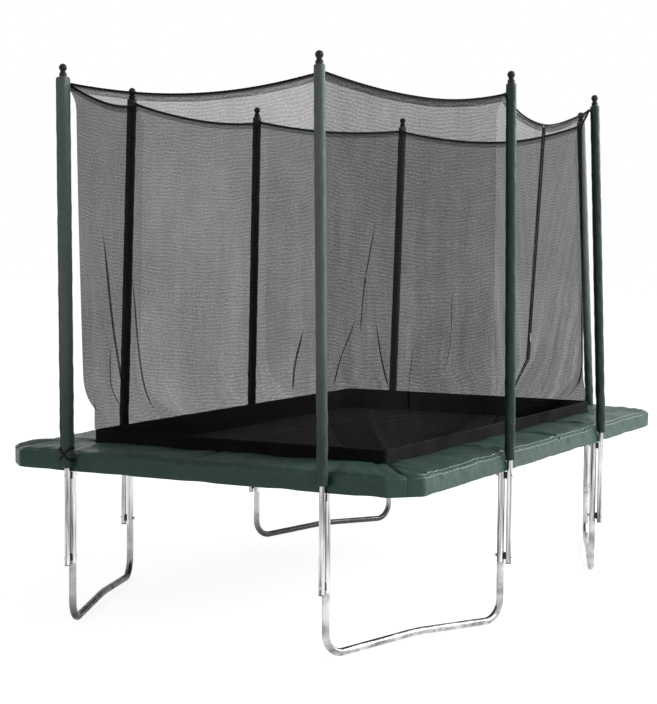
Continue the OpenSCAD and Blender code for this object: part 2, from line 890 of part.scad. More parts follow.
// Elastic loops that hold the pad down, open at the top where they are sewn to it
tie_t = 1;
module tie_loop() {
    opening = 90 - asin((pad_under - rail_height - seat) / (rail_r + 0.1 + tie_t));
    rotate([0, 0, 90 + opening])
        translate([0, 0, -10])
            rotate_extrude(angle = 360 - 2 * opening)
                translate([rail_r + 0.1, 0])
                    square([tie_t, 20]);
}

module pad_ties() {
    color([0.07, 0.07, 0.075]) {
        for (side = [-1, 1])
            for (k = [-9, -3, 3, 9])
                if (abs(k * spring_pitch) < side_rail_end)
                    translate([side * half_w, k * spring_pitch, rail_height])
                        rotate([90, 0, 0])
                            tie_loop();
        for (dir = [-1, 1])
            for (k = [-3.5, 0.5, 3.5])
                if (abs(k * spring_pitch) < end_rail_end)
                    translate([k * spring_pitch, dir * half_l, rail_height])
                        rotate([90, 0, 90])
                            tie_loop();
    }
}

// ---------------------------------------------------------------- net
net_in = sleeve_r + 8 + net_t / 2;
net_foot_z = mat_top + seat + foot_band_h + seat;
foot_line_w = foot_w - net_t / 2;
foot_line_l = foot_l - net_t / 2;
rope_r = rope_d / 2;
function rope_z(i) = overall_height - rope_drop[i];

// Direction in from pole i between its two neighbours, the way the net pulls
function toward(i, k) = (post[k % 8] - post[i]) / norm(post[k % 8] - post[i]);
function inward(i) =
    let (v = toward(i, i + 1) + toward(i, i + 7))
        v / norm(v);
// The net is held to the pole only at its rope and falls inward within slack_drop below it
slack_drop = 60;
function slack(i, z) = net_slack * (1 - exp(-(max(0, rope_z(i) - z) / slack_drop) ^ 2));
// Where the net hangs beside pole i at height z
function net_at(i, z) = pole_at(i, z) - outward(i) * net_in + inward(i) * slack(i, z);
// Where the net's foot stands nearest to pole i
function foot_at(i) =
    let (o = outward(i), p = post[i])
        [abs(o.x) > 0.5 ? o.x * foot_line_w : p.x * 0.86, abs(o.y) > 0.5 ? o.y * foot_line_l : p.y * 0.91];

// Height of the rope's centre line at the share t of span i
function rope_height(i, t) =
    let (
        s = rope_sag[i],
        u = t < s[1] ? 1 - t / s[1] : (t - s[1]) / (1 - s[1])
    )
        mix(rope_z(i), rope_z((i + 1) % 8), t) - s[0] * (1 - u ^ s[2]);

// Foot of the net at the share t between poles i and i + 1, round the corner if there is one
function foot_path(i, t) =
    let (
        a = foot_at(i),
        b = foot_at((i + 1) % 8),
        at_end = abs(outward(i).y) > 0.5,
        c = at_end ? [b.x, a.y] : [a.x, b.y],
        turn = norm(c - a) / (norm(c - a) + norm(b - c))
    )
        abs(a.x - b.x) < 1 || abs(a.y - b.y) < 1 ? mix(a, b, t) :
        t < turn ? mix(a, c, t / turn) : mix(c, b, (t - turn) / (1 - turn));

// Share of the way in to the foot at height z: a tenth of it from the rope down, the rest
// below the waist
draw_top = 2500;
function draw_in(z) =
    0.1 * clamp01((draw_top - z) / (draw_top - net_foot_z)) ^ 1.5
    + 0.9 * clamp01((net_waist - z) / (net_waist - net_foot_z)) ^ 3;
fold_top = 2150;
function fold_share(z) =
    z > net_waist ? clamp01((fold_top - z) / (fold_top - net_waist)) ^ 1.5
                  : clamp01((z - net_foot_z) / (net_waist - net_foot_z));

// Point of the net in span i at share t and height z; folds counts its main folds
function net_point(i, t, z, folds) =
    let (
        a = net_at(i, z),
        b = net_at((i + 1) % 8, z),
        chord = b - a,
        normal = [chord.y, -chord.x] / norm(chord),
        p = mix(mix(a, b, t), foot_path(i, t), draw_in(z)),
        wave = -fold_depth * (0.5 - 0.5 * cos(360 * folds * t)) * fold_share(z)
    )
        [p.x + normal.x * wave, p.y + normal.y * wave, z];

// Closed sheet between two equal grids of points
module sheet(front, back) {
    m = len(front);
    n = len(front[0]);
    size = m * n;
    points = concat([for (r = front) for (p = r) p], [for (r = back) for (p = r) p]);
    faces = [
        for (r = [0 : m - 2])
            for (c = [0 : n - 2])
                let (a = r * n + c, b = a + 1, d = a + n, e = d + 1)
                    for (f = [
                        [a, b, e], [a, e, d],
                        [size + a, size + e, size + b], [size + a, size + d, size + e]
                    ]) f
    ];
    top = [for (c = [0 : n - 2]) for (f = [[c, size + c, size + c + 1], [c, size + c + 1, c + 1]]) f];
    low_row = (m - 1) * n;
    low = [
        for (c = [0 : n - 2])
            let (a = low_row + c)
                for (f = [[a, size + a + 1, size + a], [a, a + 1, size + a + 1]]) f
    ];
    left = [
        for (r = [0 : m - 2])
            let (a = r * n, d = a + n)
                for (f = [[a, size + d, size + a], [a, d, size + d]]) f
    ];
    right = [
        for (r = [0 : m - 2])
            let (a = r * n + n - 1, d = a + n)
                for (f = [[a, size + a, size + d], [a, size + d, d]]) f
    ];
    polyhedron(points, concat(faces, top, low, left, right));
}

upper_rows = [0, 0.35, 0.62, 0.82, 1];
lower_rows = [0.3, 0.55, 0.75, 0.9, 1];

// Columns of a net panel: shares of its span, with one on the corner of the foot
function foot_turn(i) =
    let (a = foot_at(i), b = foot_at((i + 1) % 8), dx = abs(a.x - b.x), dy = abs(a.y - b.y))
        dx < 1 || dy < 1 ? 0 : abs(outward(i).y) > 0.5 ? dx / (dx + dy) : dy / (dx + dy);
function columns(i, from, to, count) =
    let (turn = foot_turn(i), plain = [for (k = [0 : count]) mix(from, to, k / count)])
        turn == 0 ? plain : [
            for (t = plain)
                abs(t - turn) <= 0.5 * (to - from) / count ? turn : t
        ];

// A panel of net in span i from share `from` to share `to`
module net_panel(i, from, to, count, folds) {
    ts = columns(i, from, to, count);
    top = [for (t = ts) rope_height(i, t) - rope_r - seat];
    rows = concat(
        [for (u = upper_rows) [for (k = [0 : count]) net_point(i, ts[k], mix(top[k], net_waist, u), folds)]],
        [for (u = lower_rows) [for (k = [0 : count]) net_point(i, ts[k], mix(net_waist, net_foot_z, u), folds)]]
    );
    a = net_at(i, net_waist);
    b = net_at((i + 1) % 8, net_waist);
    normal = [(b - a).y, (a - b).x, 0] / norm(b - a) * net_t / 2;
    color([0.1, 0.1, 0.1, 0.5])
        sheet(
            [for (r = rows) [for (p = r) p + normal]],
            [for (r = rows) [for (p = r) p - normal]]
        );
}

edge_share = 0.0015;   // net panels end this share of a span short of the pole

module net_near() net_panel(0, edge_share, 1 - edge_share, 12, 3);
module net_near_right() net_panel(1, edge_share, 1 - edge_share, 12, 3);
module net_far_right() net_panel(3, edge_share, 1 - edge_share, 12, 3);
module net_far() net_panel(4, edge_share, 1 - edge_share, 12, 3);
module net_far_left() net_panel(5, edge_share, 1 - edge_share, 12, 3);
module net_left() net_panel(6, edge_share, 1 - edge_share, 12, 3);
module net_near_left() net_panel(7, edge_share, 1 - edge_share, 12, 3);

// ---------------------------------------------------------------- zip door
// The closed zip runs down the net at +X in a straight line that leans towards the near end
zip_span = 2;
zip_top_z = rope_height(zip_span, rope_sag[zip_span][1]) - rope_r - seat - 2;
zip_low_z = net_waist + 20;
zip_plan_top = net_mid(zip_top_z, 0.52);
zip_plan_low = mix(net_mid(zip_low_z, 0.35), foot_path(zip_span, 0.42), draw_in(zip_low_z));
zip_top = [zip_plan_top.x, zip_plan_top.y, zip_top_z];
zip_low = [zip_plan_low.x, zip_plan_low.y, zip_low_z];
zip_foot = [foot_line_w, foot_path(zip_span, 0.42).y, net_foot_z];
zip_len = norm(zip_top - zip_low);
zip_slant = zip_len / (zip_top_z - zip_low_z);
teeth_from = 1;
tape_from = teeth_from + zip_teeth_w + seat;
tape_edge = (tape_from + zip_tape_w) * zip_slant;   // measured level, across the leaning zip
zip_half = tape_edge + seat;

function net_mid(z, t) = mix(net_at(zip_span, z), net_at(zip_span + 1, z), t);
// Point on the zip's centre line at height z
function zip_at(z) =
    z >= zip_low_z ? mix(zip_low, zip_top, (z - zip_low_z) / (zip_top_z - zip_low_z))
                   : mix(zip_foot, zip_low, (z - net_foot_z) / (zip_low_z - net_foot_z));

// Moves its children to the lower point a, with +Z towards b and +X out of the net
module along_zip(a, b) {
    d = b - a;
    side_turn = atan2(-(net_at(3, a.z) - net_at(2, a.z)).x, (net_at(3, a.z) - net_at(2, a.z)).y);
    flat = [d.x * cos(side_turn) + d.y * sin(side_turn), -d.x * sin(side_turn) + d.y * cos(side_turn), d.z];
    translate(a)
        rotate([0, 0, side_turn])
            rotate([-atan2(flat.y, flat.z), 0, 0])
                rotate([0, atan2(flat.x, norm([flat.y, flat.z])), 0])
                    children();
}

// Direction from the zip to the pole in front of it or behind it, in plan, at height z
function door_pole(front, z) =
    let (pole = front ? zip_span : zip_span + 1)
        mix(net_at(pole, z), foot_at(pole), draw_in(z));
function door_dir(front, z) =
    let (c = zip_at(z), d = door_pole(front, z) - [c.x, c.y])
        d / norm(d);

// Tapes: straight beside the teeth, and following the net down to its foot below them
module zip_tapes() {
    lower = [for (u = concat([0], lower_rows)) mix(zip_low_z, net_foot_z, u)];
    color([0.05, 0.05, 0.055]) {
        along_zip(zip_low, zip_top)
            for (m = [0, 1])
                mirror([0, m, 0])
                    translate([-zip_tape_t / 2, tape_from, 0])
                        cube([zip_tape_t, zip_tape_w, zip_len]);
        for (front = [true, false]) {
            spread = front ? [tape_edge, tape_from * zip_slant] : [tape_from * zip_slant, tape_edge];
            grid = [
                for (z = lower) [
                    for (w = spread)
                        let (c = zip_at(z), q = [c.x, c.y] + door_dir(front, z) * w)
                            [q.x, q.y, z]
                ]
            ];
            sheet(
                [for (r = grid) [for (q = r) q + [zip_tape_t / 2, 0, 0]]],
                [for (r = grid) [for (q = r) q - [zip_tape_t / 2, 0, 0]]]
            );
        }
    }
}

module zip_teeth() {
    color([0.12, 0.12, 0.13])
        along_zip(zip_low, zip_top)
            for (m = [0, 1])
                mirror([0, m, 0])
                    translate([-zip_teeth_t / 2, teeth_from, 0])
                        cube([zip_teeth_t, zip_teeth_w, zip_len]);
}

plate_t = 1.8;
plate_w = 13;
plate_x = zip_teeth_t / 2 + 0.4;
lug_gap = 8.4;
lug_t = 1.4;
pin_r = 1.2;
pivot_x = plate_x + plate_t + 2.4;
pivot_up = 4;

// Two plates joined by a thin web that runs between the rows of teeth
module zip_slider() {
    color([0.8, 0.8, 0.82])
        along_zip(zip_low, zip_top)
            translate([0, 0, slider_rest * zip_len]) {
                for (s = [-1, 1])
                    translate([s > 0 ? plate_x : -plate_x - plate_t, -plate_w / 2, -slider_len / 2])
                        cube([plate_t, plate_w, slider_len]);
                translate([-plate_x - 0.5, -(teeth_from - 0.4), -slider_len / 2])
                    cube([2 * plate_x + 1, 2 * (teeth_from - 0.4), slider_len]);
                for (m = [0, 1])
                    mirror([0, m, 0])
                        translate([plate_x + plate_t - 0.5, lug_gap / 2, pivot_up - 2.5])
                            cube([pivot_x + 2.5 - plate_x - plate_t + 0.5, lug_t, 5]);
                translate([pivot_x, -lug_gap / 2 - lug_t / 2, pivot_up])
                    rotate([-90, 0, 0])
                        cylinder(r = pin_r, h = lug_gap + lug_t);
            }
}

// The tab hangs from the slider's pin
module zip_pull() {
    tab_t = 2;
    color([0.75, 0.75, 0.78])
        along_zip(zip_low, zip_top)
            translate([pivot_x, 0, slider_rest * zip_len + pivot_up])
                rotate([90, 0, 0])
                    difference() {
                        translate([0, 0, -lug_gap / 2 + seat])
                            linear_extrude(lug_gap - 2 * seat)
                                union() {
                                    circle(2.1);
                                    translate([-tab_t / 2, -tab_len])
                                        square([tab_t, tab_len]);
                                }
                        cylinder(r = pin_r + 0.08, h = lug_gap + 2, center = true);
                    }
}

// The two halves of the door wall, cut along the zip
module door_panel(front) {
    count = 9;
    grid = [
        for (r = concat([for (u = upper_rows) [0, u]], [for (u = lower_rows) [1, u]])) [
            for (k = [0 : count])
                let (
                    t = k / count,
                    share0 = rope_sag[zip_span][1],
                    share = front ? mix(edge_share, share0, t) : mix(share0, 1 - edge_share, t),
                    top = rope_height(zip_span, share) - rope_r - seat,
                    z = r[0] == 0 ? mix(top, zip_low_z, r[1]) : mix(zip_low_z, net_foot_z, r[1]),
                    c = zip_at(z),
                    dir = door_dir(front, z),
                    start = [c.x, c.y] + dir * zip_half,
                    finish = door_pole(front, z) - dir * edge_share * side_post_gap,
                    p = front ? mix(finish, start, t) : mix(start, finish, t),
                    wave = -fold_depth * (0.5 - 0.5 * cos(360 * 3 * t)) * fold_share(z)
                )
                    [p.x + wave, p.y, z]
        ]
    ];
    color([0.1, 0.1, 0.1, 0.5])
        sheet(
            [for (r = grid) [for (p = r) p + [net_t / 2, 0, 0]]],
            [for (r = grid) [for (p = r) p - [net_t / 2, 0, 0]]]
        );
}

module net_right_front() door_panel(true);
module net_right_rear() door_panel(false);

// ---------------------------------------------------------------- rope and hooks
rope_steps = 8;
rope_sides = 6;

function rope_centre(i, t) =
    let (z = rope_height(i, t), a = net_at(i, z), b = net_at((i + 1) % 8, z), p = mix(a, b, t))
        [p.x, p.y, z];

module top_rope() {
    path = [for (i = posts) for (k = [0 : rope_steps - 1]) rope_centre(i, k / rope_steps)];
    count = len(path);
    rings = [
        for (k = [0 : count - 1])
            let (
                ahead = path[(k + 1) % count] - path[(k + count - 1) % count],
                side = [ahead.y, -ahead.x, 0] / norm([ahead.x, ahead.y])
            )
                [for (s = [0 : rope_sides - 1])
                    path[k] + rope_r * (side * cos(360 * s / rope_sides) + [0, 0, sin(360 * s / rope_sides)])]
    ];
    n = rope_sides;
    faces = [
        for (k = [0 : count - 1])
            for (j = [0 : n - 1])
                let (a = k * n + j, b = k * n + (j + 1) % n, shift = (k + 1) % count * n - k * n)
                    for (f = [[a, b, b + shift], [a, b + shift, a + shift]]) f
    ];
    color([0.04, 0.04, 0.045])
        polyhedron([for (r = rings) for (p = r) p], faces);
}

// A strap round each sleeve with a short hook that reaches in to the rope
module net_hooks() {
    strap_t = 1.5;
    strap_h = 14;
    hook_w = 12;
    color([0.04, 0.04, 0.045])
        for (i = posts)
            at_upper_pole(i)
                translate([0, 0, up(i, rope_z(i)) - strap_h / 2]) {
                    tube(sleeve_r + seat + strap_t, sleeve_r + seat, strap_h);
                    rotate([0, 0, out_angle[i] + 180])
                        translate([sleeve_r + seat + strap_t / 2, -hook_w / 2, 0])
                            cube([net_in - rope_r - sleeve_r - 1.5 - strap_t / 2, hook_w, strap_h]);
                }
}

side_rails();
end_rails();
corner_bends();
leg_uprights();
leg_base_near_left();
leg_base_near_right();
leg_base_far_right();
leg_base_far_left();
pole_lower_tubes();
pole_upper_tubes();
pole_foam();
pole_sleeves();
pole_caps();
pole_end_plugs();
upper_bolts();
lower_bolts();
upper_nuts();
lower_nuts();
upper_washers();
lower_washers();
upper_spacers();
lower_spacers();
springs_near();
springs_far();
springs_left();
springs_right();
mat_sheet();
mat_webbing();
v_rings();
net_foot_band();
pad_near();
pad_far();
pad_left();
pad_right();
pad_ties();
top_rope();
net_hooks();
net_near();
net_near_right();
net_right_front();
net_right_rear();
net_far_right();
net_far();
net_far_left();
net_left();
net_near_left();
zip_tapes();
zip_teeth();
zip_slider();
zip_pull();
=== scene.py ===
# %% [markdown]
# # A garden trampoline, dressed
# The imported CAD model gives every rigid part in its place, in metres. This notebook keeps
# it as a fixed frame and adds what cloth, rope and light need. Most of it is worked out from
# a few named sizes, the same ones that the CAD source uses. The poles' lean, the rope's sag
# and the places of the net's folds are rounded lists of measured values.

# %% Load the frame
import bpy
import bmesh
import math
import numpy as np
from mathutils import Matrix, Vector


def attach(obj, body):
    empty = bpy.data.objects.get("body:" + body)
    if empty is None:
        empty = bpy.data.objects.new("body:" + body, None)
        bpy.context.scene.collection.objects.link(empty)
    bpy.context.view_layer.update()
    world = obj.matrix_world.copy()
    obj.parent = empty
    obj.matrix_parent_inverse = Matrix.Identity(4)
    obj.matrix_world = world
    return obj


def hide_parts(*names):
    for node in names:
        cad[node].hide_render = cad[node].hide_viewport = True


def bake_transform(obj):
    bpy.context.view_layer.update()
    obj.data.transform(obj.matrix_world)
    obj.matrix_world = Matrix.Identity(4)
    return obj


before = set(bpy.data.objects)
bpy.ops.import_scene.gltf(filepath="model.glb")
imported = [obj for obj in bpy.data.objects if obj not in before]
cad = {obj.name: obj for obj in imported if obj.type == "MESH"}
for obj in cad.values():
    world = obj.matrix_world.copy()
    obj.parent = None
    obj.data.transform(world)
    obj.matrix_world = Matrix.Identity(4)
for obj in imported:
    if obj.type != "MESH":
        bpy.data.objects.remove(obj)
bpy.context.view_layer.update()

# %% [markdown]
# ## The camera
# A camera is three directions and a place. It stands a little above eye level, some nine
# metres from the middle, and looks a little down. Writing its axes into the matrix keeps the roll
# exact, which a look-at constraint would lose. The lens is long, so poles stay nearly upright.

# %% Camera
def aim_camera(place, yaw, pitch, roll, lens):
    """Axes of the camera: forward turned by yaw to the left of +Y and tipped by pitch,
    right level and square to it, up square to both, and both turned by the roll."""
    forward = np.array([-math.sin(yaw) * math.cos(pitch), math.cos(yaw) * math.cos(pitch), math.sin(pitch)])
    level = np.array([math.cos(yaw), math.sin(yaw), 0.0])
    upright = np.cross(level, forward)
    right = math.cos(roll) * level + math.sin(roll) * upright
    up = -math.sin(roll) * level + math.cos(roll) * upright
    data = bpy.data.cameras.new("camera")
    data.lens, data.sensor_width, data.sensor_fit = lens, 36.0, "AUTO"
    data.clip_end = 200.0
    camera = bpy.data.objects.new("camera", data)
    bpy.context.scene.collection.objects.link(camera)
    camera.matrix_world = Matrix([
        [right[0], up[0], -forward[0], place[0]],
        [right[1], up[1], -forward[1], place[1]],
        [right[2], up[2], -forward[2], place[2]],
        [0, 0, 0, 1],
    ])
    bpy.context.scene.camera = camera
    return camera

camera = aim_camera((4.0967, -8.2790, 1.8590), math.radians(27.606), math.radians(-3.738),
                    math.radians(0.4747), 84.85)
print("camera at", tuple(round(x, 2) for x in camera.location))

# %% [markdown]
# ## Node helpers
# A material is a small program drawn as boxes and wires. `put` adds one box and fills its
# inputs, with a number, a colour or a wire, so that a material reads like a short recipe.
# `tool` makes a node group, a named effect that several materials place with their own values.

# %% Node helpers
def put(tree, kind, inputs=None, **settings):
    """One node: its settings first, then each input gets a value or a wire."""
    node = tree.nodes.new(kind)
    for key, value in settings.items():
        setattr(node, key, value)
    for key, value in (inputs or {}).items():
        socket = node.inputs[key]
        if isinstance(value, bpy.types.NodeSocket):
            tree.links.new(value, socket)
        else:
            socket.default_value = value
    return node

def sums(tree, operation, a, b=0.0, c=0.0):
    """One step of arithmetic on numbers or wires."""
    return put(tree, "ShaderNodeMath", {0: a, 1: b, 2: c}, operation=operation).outputs[0]

def ranged(tree, value, low, high, at_low, at_high):
    """A number that runs from at_low to at_high while value runs from low to high."""
    inputs = {0: value, 1: low, 2: high, 3: at_low, 4: at_high}
    return put(tree, "ShaderNodeMapRange", inputs).outputs[0]

def noise(tree, vector, scale, detail, **more):
    """Cloud noise at a point, between 0 and 1."""
    inputs = {"Vector": vector, "Scale": scale, "Detail": detail, **more}
    return put(tree, "ShaderNodeTexNoise", inputs).outputs[0]

def drawn_out(tree, vector, factors):
    """A point whose three numbers are each multiplied by their own factor."""
    return put(tree, "ShaderNodeVectorMath", {0: vector, 1: factors}, operation="MULTIPLY").outputs[0]

def split(tree, vector):
    """The three numbers of a point as separate wires."""
    return put(tree, "ShaderNodeSeparateXYZ", {0: vector}).outputs

def blend_colours(tree, share, a, b, how="MIX"):
    """Colour a turned into colour b by a share between 0 and 1."""
    node = put(tree, "ShaderNodeMix", data_type="RGBA", blend_type=how)
    for index, value in ((0, share), (6, a), (7, b)):
        if isinstance(value, bpy.types.NodeSocket):
            tree.links.new(value, node.inputs[index])
        else:
            node.inputs[index].default_value = value
    return node.outputs[2]

def tool(name, inputs, outputs):
    """An empty node group with named sockets, and its input and output boxes."""
    tree = bpy.data.node_groups.new(name, "ShaderNodeTree")
    for label, kind, value in inputs:
        socket = tree.interface.new_socket(label, in_out="INPUT", socket_type="NodeSocket" + kind)
        if value is not None:
            socket.default_value = value
    for label, kind in outputs:
        tree.interface.new_socket(label, in_out="OUTPUT", socket_type="NodeSocket" + kind)
    return tree, tree.nodes.new("NodeGroupInput").outputs, tree.nodes.new("NodeGroupOutput").inputs

def grey(value):
    """A neutral colour."""
    return (value, value, value, 1.0)

print("node helpers ready")

# %% [markdown]
# ## Shared effects
# The same few things happen on many surfaces: dye and dust vary softly, thread crosses
# thread, zinc runs in streaks, stitches follow a line and dirt gathers near the ground.
# Each is one group that gives out a mask or a value, and the material decides what it does.

# %% Soft variation
def make_mottle():
    """Two sizes of cloud noise added up, stretched to fill 0 to 1."""
    tree, given, out = tool("soft_variation",
        [("Vector", "Vector", None), ("Scale", "Float", 5.0), ("Contrast", "Float", 1.0)],
        [("Value", "Float")])
    broad = noise(tree, given["Vector"], given["Scale"], 3.0)
    fine = noise(tree, given["Vector"], sums(tree, "MULTIPLY", given["Scale"], 6.3), 2.0)
    both = sums(tree, "MULTIPLY_ADD", fine, 0.35, sums(tree, "MULTIPLY", broad, 0.65))
    off = sums(tree, "SUBTRACT", both, 0.5)
    spread = sums(tree, "MULTIPLY_ADD", off, sums(tree, "MULTIPLY", given["Contrast"], 2.4), 0.5)
    tree.links.new(put(tree, "ShaderNodeClamp", {"Value": spread}).outputs[0], out["Value"])
    return tree

mottle = make_mottle()
print("made", mottle.name)

# %% Woven threads
def make_weave():
    """Warp and weft: two sines across the cloth, each on top in turn, as in plain weave.
    The input Vector holds the distance across and along the cloth in metres."""
    tree, given, out = tool("woven_threads",
        [("Vector", "Vector", None), ("Thread", "Float", 0.0012)], [("Height", "Float"), ("Gap", "Float")])
    at = split(tree, given["Vector"])
    turns = sums(tree, "DIVIDE", math.pi, given["Thread"])
    across = sums(tree, "SINE", sums(tree, "MULTIPLY", at[0], turns))
    along = sums(tree, "SINE", sums(tree, "MULTIPLY", at[1], turns))
    over = sums(tree, "MULTIPLY", across, along)
    ridge = sums(tree, "ADD", sums(tree, "MULTIPLY", across, across), sums(tree, "MULTIPLY", along, along))
    tree.links.new(sums(tree, "MULTIPLY_ADD", over, 0.35, sums(tree, "MULTIPLY", ridge, 0.35)), out["Height"])
    tree.links.new(ranged(tree, ridge, 0.0, 0.5, 1.0, 0.0), out["Gap"])
    return tree

weave = make_weave()
print("made", weave.name)

# %% Zinc streaks
def make_streaks():
    """Noise squeezed across a tube and drawn out along it, with a cell pattern for the zinc's crystals."""
    tree, given, out = tool("zinc_streaks",
        [("Vector", "Vector", None), ("Stretch", "Vector", (60.0, 60.0, 2.0))],
        [("Streak", "Float"), ("Crystal", "Float")])
    streak = noise(tree, drawn_out(tree, given["Vector"], given["Stretch"]), 1.0, 4.0, Roughness=0.6)
    crystal = put(tree, "ShaderNodeTexVoronoi", {"Vector": given["Vector"], "Scale": 160.0})
    tree.links.new(streak, out["Streak"])
    tree.links.new(crystal.outputs["Distance"], out["Crystal"])
    return tree

streaks = make_streaks()
print("made", streaks.name)

# %% Ground dirt
def make_dirt():
    """A share that falls from 1 at the ground to 0 at Reach, broken up by cloud noise."""
    tree, given, out = tool("ground_dirt",
        [("Vector", "Vector", None), ("Reach", "Float", 0.25)], [("Mask", "Float")])
    height = split(tree, given["Vector"])[2]
    fall = ranged(tree, height, 0.0, given["Reach"], 1.0, 0.0)
    cloud = noise(tree, given["Vector"], 35.0, 5.0)
    broken = ranged(tree, cloud, 0.42, 0.68, 0.0, 1.0)
    tree.links.new(sums(tree, "MULTIPLY", fall, broken), out["Mask"])
    return tree

dirt = make_dirt()
print("made", dirt.name)

# %% Row of stitches
def make_stitches():
    """A dashed line: one where the cross distance is near Line and the long distance is in the
    first three fifths of a stitch. Both come from the piece's own map, in metres."""
    tree, given, out = tool("row_of_stitches",
        [("Across", "Float", 0.0), ("Along", "Float", 0.0), ("Line", "Float", 0.0), ("Pitch", "Float", 0.004),
         ("Width", "Float", 0.0008)], [("Mask", "Float")])
    off = sums(tree, "ABSOLUTE", sums(tree, "SUBTRACT", given["Across"], given["Line"]))
    near = sums(tree, "LESS_THAN", off, given["Width"])
    step = sums(tree, "FRACT", sums(tree, "DIVIDE", given["Along"], given["Pitch"]))
    dash = sums(tree, "LESS_THAN", step, 0.6)
    tree.links.new(sums(tree, "MULTIPLY", near, dash), out["Mask"])
    return tree

stitches = make_stitches()
print("made", stitches.name)

# %% Open mesh
def make_open_mesh():
    """Knotless netting: yarn along both diagonals of the cloth, so the holes are diamonds.
    Yarn gives 1 and holes give 0, with soft edges; the coordinate is in metres."""
    tree, given, out = tool("open_mesh",
        [("Vector", "Vector", None), ("Cell", "Float", 0.006), ("Low", "Float", 0.2), ("High", "Float", 0.9)],
        [("Yarn", "Float"), ("Height", "Float")])
    at = split(tree, given["Vector"])
    turns = sums(tree, "DIVIDE", 2 * math.pi, given["Cell"])
    waves = []
    for way in ("ADD", "SUBTRACT"):
        diagonal = sums(tree, way, at[0], sums(tree, "MULTIPLY", at[1], 0.8))
        waves.append(sums(tree, "COSINE", sums(tree, "MULTIPLY", diagonal, turns)))
    yarn = sums(tree, "MAXIMUM", *waves)
    tree.links.new(ranged(tree, yarn, -0.45, 0.35, given["Low"], given["High"]), out["Yarn"])
    tree.links.new(yarn, out["Height"])
    return tree

open_mesh = make_open_mesh()
print("made", open_mesh.name)

# %% [markdown]
# ## Materials
# Each finish starts from the same shell: one Principled shader with its plain values set on
# its own sockets. What changes over the surface, its colour, gloss or fine relief, is wired in.
# CAD parts have no map of their own, so they read the object's coordinates, which are metres.

# %% Material helpers
def finish(name, base, roughness, metallic=0.0, **sockets):
    """A new material: its node tree and its Principled shader, with plain values set."""
    material = bpy.data.materials.new(name)
    material.use_nodes = True
    tree = material.node_tree
    shader = tree.nodes["Principled BSDF"]
    shader.inputs["Base Color"].default_value = (*base, 1.0)
    shader.inputs["Roughness"].default_value = roughness
    shader.inputs["Metallic"].default_value = metallic
    for key, value in sockets.items():
        shader.inputs[key.replace("_", " ")].default_value = value
    return material, tree, shader

def use(tree, group, **inputs):
    """Places a shared effect in a material."""
    node = tree.nodes.new("ShaderNodeGroup")
    node.node_tree = group
    for key, value in inputs.items():
        if isinstance(value, bpy.types.NodeSocket):
            tree.links.new(value, node.inputs[key])
        else:
            node.inputs[key].default_value = value
    return node.outputs

def place(tree):
    """The point of the surface in metres."""
    return tree.nodes.new("ShaderNodeTexCoord").outputs["Object"]

def cloth_map(tree):
    """The piece's own map: distance across and along the cloth in metres."""
    return put(tree, "ShaderNodeUVMap", uv_map="cloth").outputs[0]

def relief(tree, shader, height, depth, strength=1.0, under=None):
    """Fine relief from a height of 0 to 1 that is depth metres deep."""
    inputs = {"Height": height, "Distance": depth, "Strength": strength}
    if under is not None:
        inputs["Normal"] = under
    normal = put(tree, "ShaderNodeBump", inputs).outputs[0]
    tree.links.new(normal, shader.inputs["Normal"])
    return normal

def shade(tree, shader, value, dark, light):
    """Base colour that runs from dark to light with a value."""
    colour = blend_colours(tree, value, (*dark, 1.0), (*light, 1.0))
    tree.links.new(colour, shader.inputs["Base Color"])
    return colour

print("material helpers ready")

# %% [markdown]
# ## Galvanised tube
# Legs, rails and poles are zinc-coated steel: bright, streaked along the tube, a little duller
# where the crystals change direction and dirty near the grass. A metallic shader with low
# roughness reflects the lamps, and noise in its roughness breaks that up. The strong light and dark
# stripes along each tube are painted into its colour by the same noise: partly zinc streaks and
# partly painted reflection.

# %% Galvanised tube and other steel
def make_zinc(name, stretch, base=0.40, gloss=0.20, low=0.16, high=2.1, painted_shade=0.0):
    """Colour and roughness follow the streaks, crystals lift the relief, dirt darkens the foot.
    The colour's light and dark stripes are partly zinc streaks and partly painted reflection.
    The last number darkens the colour to grey, most near the ground: painted shade for the legs on the shaded
    side."""
    material, tree, shader = finish(name, (base, base, base), gloss, 1.0)
    at = place(tree)
    marks = use(tree, streaks, Vector=at, Stretch=stretch)
    # Painted reflection, partly real streaks: the colour runs from dark to light along the drawn-out noise,
    # for the stripes that a shiny tube would reflect.
    streak_and_reflection = ranged(tree, marks["Streak"], 0.36, 0.62, 0.0, 1.0)
    tone = shade(tree, shader, streak_and_reflection, (base * low,) * 3, (min(base * high, 0.92),) * 3)
    mud = use(tree, dirt, Vector=at, Reach=0.12)["Mask"]
    # Painted shade: the colour turns towards grey near the ground, for the legs on the shaded side.
    if painted_shade:
        height = split(tree, at)[2]
        shade_share = ranged(tree, height, 0.04, 0.16, painted_shade, 0.1 * painted_shade)
        tone = blend_colours(tree, shade_share, tone, grey(0.05))
    muddy = blend_colours(tree, sums(tree, "MULTIPLY", mud, 0.6), tone, (0.09, 0.075, 0.055, 1.0))
    tree.links.new(muddy, shader.inputs["Base Color"])
    rough = ranged(tree, marks["Streak"], 0.3, 0.7, gloss - 0.07, gloss + 0.12)
    tree.links.new(sums(tree, "MULTIPLY_ADD", mud, 0.4, rough), shader.inputs["Roughness"])
    relief(tree, shader, marks["Crystal"], 0.0004, 0.25)
    return material

zinc_upright = make_zinc("zinc_upright", (70.0, 70.0, 2.5))
zinc_across = make_zinc("zinc_across", (2.5, 70.0, 70.0))
zinc_along = make_zinc("zinc_along", (70.0, 2.5, 70.0))
zinc_bend = make_zinc("zinc_bend", (9.0, 9.0, 9.0), 0.44, 0.22, 0.6, 1.5)
